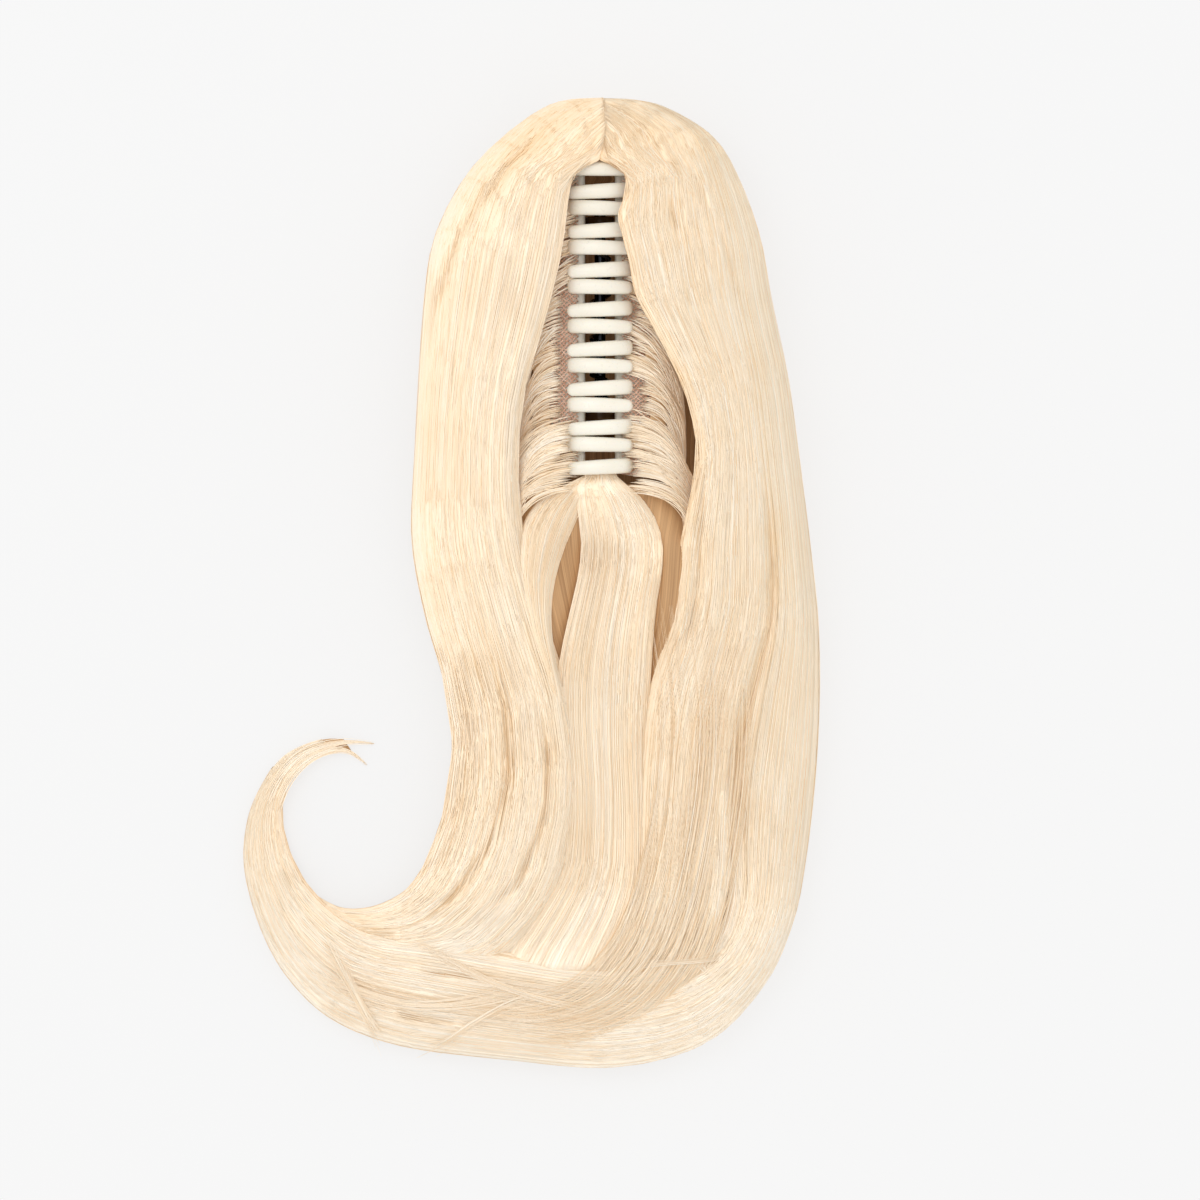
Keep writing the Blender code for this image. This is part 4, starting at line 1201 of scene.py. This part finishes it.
def girth(steps, count, root=0.05, tip=0.12):
    """Each strand's width share along it: thin at the root and thinner to the tip."""
    share = np.linspace(0.0, 1.0, steps)[None, :]
    grown = np.minimum(share / root, (1.0 - share) / tip)
    return np.broadcast_to(0.2 + 0.8 * np.clip(grown, 0.0, 1.0), (count, steps))


def strand_hair(name, paths, wide, deep, tone, body="root", node=None):
    """Strands of pale hair on their body."""
    settle(strand_piece(name, paths, wide, deep, tone, STRANDS), body, node)


def strands(name, mass, count, steps):
    """Fine strands along a mass, each a little above the skin and with a small sway of its own.
    Many start and end part of the way along."""
    share = draw.uniform(0.0, 1.0, (count, 1))
    begin = np.where(draw.uniform(size=(count, 1)) < 0.5, 0.0, draw.uniform(0.0, 0.55, (count, 1)))
    finish = np.where(draw.uniform(size=(count, 1)) < 0.5, 1.0, draw.uniform(0.5, 1.0, (count, 1)))
    finish = np.maximum(finish, begin + 0.3)
    run = np.clip(begin + (finish - begin) * fade_in(steps, 1.15)[None, :], 0.0, 1.0)
    phase = draw.uniform(0.0, 2.0 * math.pi, (count, 1))
    sway = draw.normal(0.0, 0.006, (count, 1)) * np.sin(run * draw.uniform(1.0, 5.0, (count, 1)) + phase)
    own = np.clip(share + sway, 0.0, 1.0)
    points, shade = dressed(mass, own, run)
    height = draw.uniform(0.0, 1.0, (count, 1)) ** 2 * STRAND_LIFT + 0.04
    points = points + height[..., None] * UP
    points[..., 2] = np.maximum(points[..., 2], 0.4)
    tone = shade + draw.normal(0.0, 0.10, (count, 1))
    width = girth(steps, count) * draw.uniform(0.6, 1.3, (count, 1)) * STRAND_WIDTH
    strand_hair(name, points, width, girth(steps, count) * STRAND_DEPTH, tone)


strands("left_mass_strands", LEFT_MASS, 920, 22)
strands("right_mass_strands", RIGHT_MASS, 860, 22)
strands("sweep_strands_a", SWEEP, 300, 48)
strands("sweep_strands_b", SWEEP, 300, 48)
strands("centre_lock_strands", CENTRE_LOCK, 400, 22)
strands("centre_branch_strands", CENTRE_BRANCH, 200, 16)


WALL_FIRST_ROW = 0.6
WALL_FOOT = 1.5
WALL_STRAND_WIDTH = 0.16
WALL_STRAND_DEPTH = 0.40


def wall_strands(name, outer, last, count, steps):
    """Strands down the outer walls, below the hair's widest height: each keeps its share of the
    drop to the floor while it follows the outline down the rows."""
    begin = draw.uniform(WALL_FIRST_ROW, last - 3.0, (count, 1))
    length = draw.uniform(3.0, 9.0, (count, 1))
    rows = np.minimum(begin + length * np.linspace(0.0, 1.0, steps)[None, :], last)
    level_share = draw.uniform(0.0, 1.0, (count, 1))
    drift = draw.normal(0.0, 0.04, (count, steps)).cumsum(1) * 0.3
    drop = np.clip(level_share + drift, 0.0, 0.97)
    points = hair_surface(rows, abs(outer - 0.02 * drop ** 2))
    level = WIDEST_HEIGHT * smooth_table(HAIR_ROWS, rows)[..., 4]
    points[..., 2] = level + (WALL_FOOT - level) * drop
    away = points - hair_surface(rows, 0.5)
    away[..., 2] = 0.0
    away /= np.maximum(np.linalg.norm(away, axis=-1, keepdims=True), 1e-6)
    points = points + away * draw.uniform(0.0, 0.5, (count, 1, 1))
    width = girth(steps, count, 0.2, 0.3) * draw.uniform(0.6, 1.2, (count, 1)) * WALL_STRAND_WIDTH
    # Darker towards the floor: painted shade at the foot of the wall.
    tone = 0.70 - 0.18 * drop + draw.normal(0.0, 0.10, (count, 1))
    strand_hair(name, points, width, girth(steps, count) * WALL_STRAND_DEPTH, tone)


wall_strands("left_wall_strands", 0.0, 20.0, 280, 18)
wall_strands("right_wall_strands", 1.0, 24.5, 340, 18)


# Short hair on the claw's net

# Where the net shows: highest y, lowest y, angle that the roots move out to.
LEFT_NET_SHOWS = ((12.5, -36.0, 26.0), (-8.0, -9.0, 20.0))
RIGHT_NET_SHOWS = ((9.0, -2.0, 23.0), (-5.0, -12.0, 20.0), (-19.0, -32.5, 27.0), (-48.0, -54.0, 30.0))
NET_HAIR_END = 55.2
NET_HAIR_RADIUS = 31.3
NET_HAIR_LIMIT = 36.0
FULL_TURN = 22.5
SWING_ROOM = 0.7


def each_strand(values, per_lock):
    """Values of locks, repeated for the strands of each lock, as a column."""
    return np.repeat(values, per_lock)[:, None]


def net_hair_path(root_angle, root_y, reach, drop, power, swell, run):
    """A short lock about the hinge: its angle eases out to a reach, its y falls by a drop as a
    power of the run, and its radius swells from the net like half a sine wave."""
    angle = root_angle + (reach - root_angle) * (1.0 - (1.0 - run) ** 1.7)
    y = root_y - drop * run ** power
    radius = NET_HAIR_RADIUS + swell * np.sin(math.pi * np.clip(run, 0.0, 1.0) ** 0.75) + 0.8 * run
    return angle, np.maximum(y, -NET_HAIR_END), np.minimum(radius, NET_HAIR_LIMIT)


def swing_limit(angle):
    """The radius that stays clear of the hollow's wall while a jaw turns outwards."""
    table = np.array(HOLLOW_ROWS)
    turns = np.linspace(0.0, FULL_TURN, 10)
    reached = np.interp(angle[..., None] + turns, table[:, 0], table[:, 1])
    return reached.min(axis=-1) - SWING_ROOM


def net_hair(name, body, side, shows, locks, per_lock, seed):
    """Short locks sewn on one jaw's net, which arch outwards and down under the mass beside it."""
    random = np.random.default_rng(seed)
    count = locks * per_lock
    steps = 15
    run = np.linspace(0.0, 1.0, steps)[None, :]
    lock_y = np.linspace(53.5, -53.5, locks) + random.uniform(-1.5, 1.5, locks)
    root = np.full(locks, 15.0)
    for high, low, angle in shows:
        root = np.where((lock_y < high) & (lock_y > low), angle, root)
    low_end = step_between(-lock_y, -20.0, 50.0)
    values = {
        "y": lock_y,
        "root": root + random.uniform(-1.0, 2.5, locks),
        "reach": random.uniform(52.0, 64.0, locks),
        "drop": random.uniform(26.0, 42.0, locks),
        "power": 1.2 + 0.6 * low_end + random.uniform(0.0, 0.3, locks),
        "swell": random.uniform(2.4, 5.0, locks),
    }
    each = {label: each_strand(value, per_lock) for label, value in values.items()}
    gather = 1.0 - 0.65 * run
    spread_y = random.normal(0.0, 1.6, (count, 1)) * gather
    spread_angle = random.normal(0.0, 1.8, (count, 1)) * (0.4 + 0.6 * run)
    lift = random.uniform(-0.5, 0.5, (count, 1))
    drop = each["drop"] * random.uniform(0.85, 1.15, (count, 1))
    room = np.clip((each["y"] + NET_HAIR_END) / drop, 0.03, 1.0) ** (1.0 / each["power"])
    angle, y, radius = net_hair_path(
        each["root"] + random.uniform(-1.5, 1.5, (count, 1)), each["y"], each["reach"], drop,
        each["power"], each["swell"], run * room)
    angle = angle + spread_angle
    radius = np.minimum(radius + lift, np.minimum(swing_limit(angle), NET_HAIR_LIMIT - 0.1))
    x, z = polar(angle, radius, side)
    paths = np.stack([x, np.clip(y + spread_y, -NET_HAIR_END, NET_HAIR_END), z], -1)
    width = girth(steps, count) * random.uniform(0.5, 1.1, (count, 1)) * 0.55
    lock_tone = each_strand(random.normal(0.0, 0.07, locks), per_lock)
    tone = 0.78 + lock_tone + random.normal(0.0, 0.12, (count, 1))
    strand_hair(name, paths, width, girth(steps, count) * 0.3, tone, body)


def net_backing(name, body, side, first_angle):
    """The sewn base of the short hair: a thin closed band about the hinge over the net, from a
    little out from the teeth to under the mass."""
    y = np.linspace(54.6, -55.8, 46)
    angle = np.linspace(0.0, 1.0, 22)
    wander_in = first_angle + 5.0 * along_wander(np.linspace(0.0, 1.0, len(y)), wander(14, 61))
    angles = wander_in[:, None] + (66.0 - wander_in[:, None]) * angle[None, :]
    wall = smooth_table(JAW_ROWS[:8], np.linspace(0.0, 7.0, 200))
    base = np.interp(angles, wall[:, 0], wall[:, 1])
    bumps = 0.25 * np.sin(y[:, None] * 2.1 + angles * 0.2)
    outer_x, outer_z = polar(angles, base + 3.0 + bumps, side)
    inner_x, inner_z = polar(angles[:, ::-1], base[:, ::-1] + 2.5, side)
    rings = np.empty((len(y), 44, 3))
    rings[..., 0] = np.concatenate([outer_x, inner_x], 1)
    rings[..., 1] = y[:, None]
    rings[..., 2] = np.concatenate([outer_z, inner_z], 1)
    # The band's golden tone, darker than the hair's, is painted shade in the gaps between the short locks.
    tones = np.full(rings.shape[:2], 0.42)
    settle(solid_piece(name, rings, HAIR, tones=tones), body)


net_backing("left_sewn_base", "left_jaw", -1.0, 33.0)
net_backing("right_sewn_base", "right_jaw", 1.0, 33.0)
net_hair("left_short_hair", "left_jaw", -1.0, LEFT_NET_SHOWS, 50, 12, 71)
net_hair("right_short_hair", "right_jaw", 1.0, RIGHT_NET_SHOWS, 50, 12, 72)


def collar(name, side, seed, locks, per_lock):
    """Locks that arch over the claw's lower end, outside the jaws' swing: they start beside the
    teeth, bend outwards about the hinge and run down in under the mass beside them."""
    random = np.random.default_rng(seed)
    count = locks * per_lock
    steps = 16
    run = np.linspace(0.0, 1.0, steps)[None, :]
    lock_y = np.linspace(-37.0, -59.5, locks) + random.uniform(-0.8, 0.8, locks)
    root = each_strand(random.uniform(15.0, 24.0, locks), per_lock)
    root = root + random.normal(0.0, 1.2, (count, 1))
    reach = each_strand(random.uniform(52.0, 64.0, locks), per_lock)
    reach = reach + random.normal(0.0, 1.5, (count, 1))
    drop = np.linspace(30.0, 15.0, locks) * random.uniform(0.85, 1.15, locks)
    drop = each_strand(drop, per_lock) * random.uniform(0.9, 1.1, (count, 1))
    angle = root + (reach - root) * (1.0 - (1.0 - run) ** 1.5)
    spread_y = random.normal(0.0, 0.9, (count, 1)) * (1.0 - 0.6 * run)
    y = each_strand(lock_y, per_lock) + spread_y - drop * run ** 1.7
    radius = 37.3 + 1.0 * np.sin(math.pi * run) + random.uniform(0.0, 0.7, (count, 1))
    x, z = polar(angle, radius, side)
    below = step_between(-y, 60.0, 75.0)
    z = z + (height_at(x, y) - 5.5 - z) * below
    paths = np.stack([x, y, z], -1)
    width = girth(steps, count) * random.uniform(0.5, 1.1, (count, 1)) * 0.5
    lock_tone = each_strand(random.normal(0.0, 0.06, locks), per_lock)
    tone = 0.76 + lock_tone + random.normal(0.0, 0.10, (count, 1))
    strand_hair(name, paths, width, girth(steps, count) * 0.28, tone)


collar("left_collar_hair", -1.0, 81, 16, 14)
collar("right_collar_hair", 1.0, 82, 16, 14)


def merging_strands(name, count, steps):
    """Strands of the right mass that cross on to the sweep: each keeps its place across the hair
    while the rows turn the corner, and rises over the sweep's upper edge."""
    first = draw.uniform(8.5, 12.0, (count, 1))
    last = draw.uniform(14.2, 17.0, (count, 1))
    rows = first + (last - first) * np.linspace(0.0, 1.0, steps)[None, :]
    place = draw.uniform(0.56, 0.82, (count, 1))
    outwards = draw.uniform(-0.02, 0.10, (count, 1))
    place = place + outwards * step_between(rows, 12.0, 18.0)
    flat = hair_surface(rows, place)[..., :2]
    rise = 0.2 + 0.9 * step_between(rows, 12.5, 14.5) + draw.uniform(0.0, 0.5, (count, 1))
    points = np.concatenate([flat, (height_at(flat[..., 0], flat[..., 1]) + rise)[..., None]], -1)
    width = girth(steps, count, 0.3, 0.3) * draw.uniform(0.6, 1.2, (count, 1)) * STRAND_WIDTH
    tone = 0.68 + draw.normal(0.0, 0.10, (count, 1))
    strand_hair(name, points, width, girth(steps, count) * STRAND_DEPTH, tone)


merging_strands("merging_strands", 200, 24)

# Locks that cross the sweep, each with its number of strands, spread and points in plan.
CROSSING_LOCKS = (
    (16, 1.6, ((-97.0, -216.0), (-91.0, -228.0), (-84.0, -241.0), (-77.0, -254.5))),
    (10, 1.0, ((-90.5, -224.0), (-87.0, -234.0), (-82.0, -244.0), (-76.0, -252.0))),
    (12, 1.2, ((-62.0, -257.0), (-55.0, -254.0), (-45.0, -247.0), (-30.0, -239.0), (-10.0, -234.0))),
    (16, 2.2, ((-104.0, -232.0), (-88.0, -236.0), (-68.0, -241.0), (-44.0, -240.0), (-18.0, -233.0))),
    (9, 1.4, ((30.0, -224.0), (36.8, -229.0), (38.0, -238.0), (36.0, -248.0))),
    (8, 1.0, ((48.0, -222.0), (36.0, -224.5), (22.0, -225.5), (8.0, -227.0))),
    (14, 2.0, ((-66.0, -218.0), (-52.0, -226.0), (-34.0, -234.0), (-12.0, -240.0), (10.0, -242.0))),
)


def crossing_locks(name, steps):
    """Loose locks over the sweep, which gather towards their ends."""
    run = np.linspace(0.0, 1.0, steps)
    paths = []
    for count, spread, points in CROSSING_LOCKS:
        stretches = len(points) - 1.0
        begin = draw.uniform(0.0, 0.15, (count, 1))
        reach = draw.uniform(0.85, 1.0, (count, 1))
        line = smooth_table(points, (begin + (reach - begin) * run[None, :]) * stretches)
        aside = draw.normal(0.0, spread, (count, 1, 2)) * (1.0 - 0.5 * np.sin(math.pi * run))[None, :, None]
        flat = line + aside
        lift = 0.5 + 0.9 * np.sin(math.pi * run)[None, :] + draw.uniform(0.0, 0.5, (count, 1))
        paths.append(np.concatenate([flat, (height_at(flat[..., 0], flat[..., 1]) + lift)[..., None]], -1))
    paths = np.concatenate(paths)
    count = len(paths)
    width = girth(steps, count, 0.3, 0.3) * draw.uniform(0.6, 1.2, (count, 1)) * STRAND_WIDTH
    tone = 0.80 + draw.normal(0.0, 0.08, (count, 1))
    strand_hair(name, paths, width, girth(steps, count) * STRAND_DEPTH, tone)


crossing_locks("crossing_locks", 20)

# The curl's two tips in plan: x, y, height.
CURL_TIPS = (
    ((-116.5, -170.0, 7.6), (-112.0, -160.5, 6.6), (-105.0, -153.2, 5.4), (-96.5, -149.6, 4.2),
     (-88.0, -148.3, 2.6), (-79.8, -148.9, 1.2)),
    ((-115.5, -171.0, 7.2), (-111.0, -161.5, 6.2), (-104.0, -154.6, 5.0), (-95.5, -151.2, 3.8),
     (-88.5, -151.9, 2.2), (-82.5, -156.6, 1.0)),
)


def curl_tips(name, per_tip, steps):
    """Two tapering tips at the end of the curl, each a bundle that narrows to its point."""
    paths = []
    run = np.linspace(0.0, 1.0, steps)
    for points in CURL_TIPS:
        spread = draw.normal(0.0, 1.0, (per_tip, 1, 3)) * np.array([1.2, 1.2, 0.35])
        reach = draw.uniform(0.82, 1.0, (per_tip, 1))
        lines = smooth_table(points, reach * run[None, :] * (len(points) - 1.0))
        paths.append(lines + spread * (1.0 - 0.85 * run[None, :, None]))
    paths = np.concatenate(paths)
    paths[..., 2] = np.maximum(paths[..., 2], 0.4)
    count = len(paths)
    width = girth(steps, count, 0.05, 0.5) * draw.uniform(0.6, 1.2, (count, 1)) * 0.5
    tone = 0.80 + draw.normal(0.0, 0.08, (count, 1))
    strand_hair(name, paths, width, girth(steps, count) * 0.3, tone, node="hair_tail")


curl_tips("curl_tip_strands", 60, 18)


# Floor, light and camera

FLOOR_REACH = 4000.0


def floor():
    """A plain pale table, lit a little from within so that shadows on it stay faint."""
    mesh = bpy.data.meshes.new("table_top")
    reach = FLOOR_REACH * MM
    corners = [(-reach, -reach, 0.0), (reach, -reach, 0.0), (reach, reach, 0.0), (-reach, reach, 0.0)]
    mesh.from_pydata(corners, [], [(0, 1, 2, 3)])
    top = bpy.data.objects.new("table_top", mesh)
    bpy.context.scene.collection.objects.link(top)
    material, _, shader = new_material("pale_table")
    shader.inputs["Base Color"].default_value = (0.20, 0.20, 0.20, 1.0)
    shader.inputs["Roughness"].default_value = 0.9
    shader.inputs["Specular IOR Level"].default_value = 0.0
    shader.inputs["Emission Color"].default_value = (1.0, 1.0, 1.0, 1.0)
    shader.inputs["Emission Strength"].default_value = 0.693
    mesh.materials.append(material)


def area_light(name, place, aim, size, power):
    """A soft square light at a place, turned to a point."""
    data = bpy.data.lights.new(name, "AREA")
    data.size = size
    data.energy = power
    light = bpy.data.objects.new(name, data)
    bpy.context.scene.collection.objects.link(light)
    light.location = place
    light.rotation_euler = (Vector(aim) - Vector(place)).to_track_quat("-Z", "Y").to_euler()


def sky(strength):
    """An even white surround."""
    world = bpy.data.worlds.new("studio")
    world.use_nodes = True
    world.node_tree.nodes["Background"].inputs["Color"].default_value = (1.0, 1.0, 1.0, 1.0)
    world.node_tree.nodes["Background"].inputs["Strength"].default_value = strength
    bpy.context.scene.world = world


def camera():
    """A long lens straight above the middle of the frame."""
    data = bpy.data.cameras.new("camera")
    data.sensor_width = SENSOR
    data.lens = SENSOR * CAMERA_HEIGHT / FRAME_WIDTH
    data.clip_start = 0.1
    data.clip_end = 50.0
    eye = bpy.data.objects.new("camera", data)
    bpy.context.scene.collection.objects.link(eye)
    eye.location = (FRAME_CENTRE[0] * MM, FRAME_CENTRE[1] * MM, CAMERA_HEIGHT * MM)
    bpy.context.scene.camera = eye


floor()
sky(1.07)
area_light("key", (-0.6, 0.6, 2.5), (0.0, -0.08, 0.0), 1.4, 11.0)
camera()
bpy.context.scene.view_settings.view_transform = "Standard"
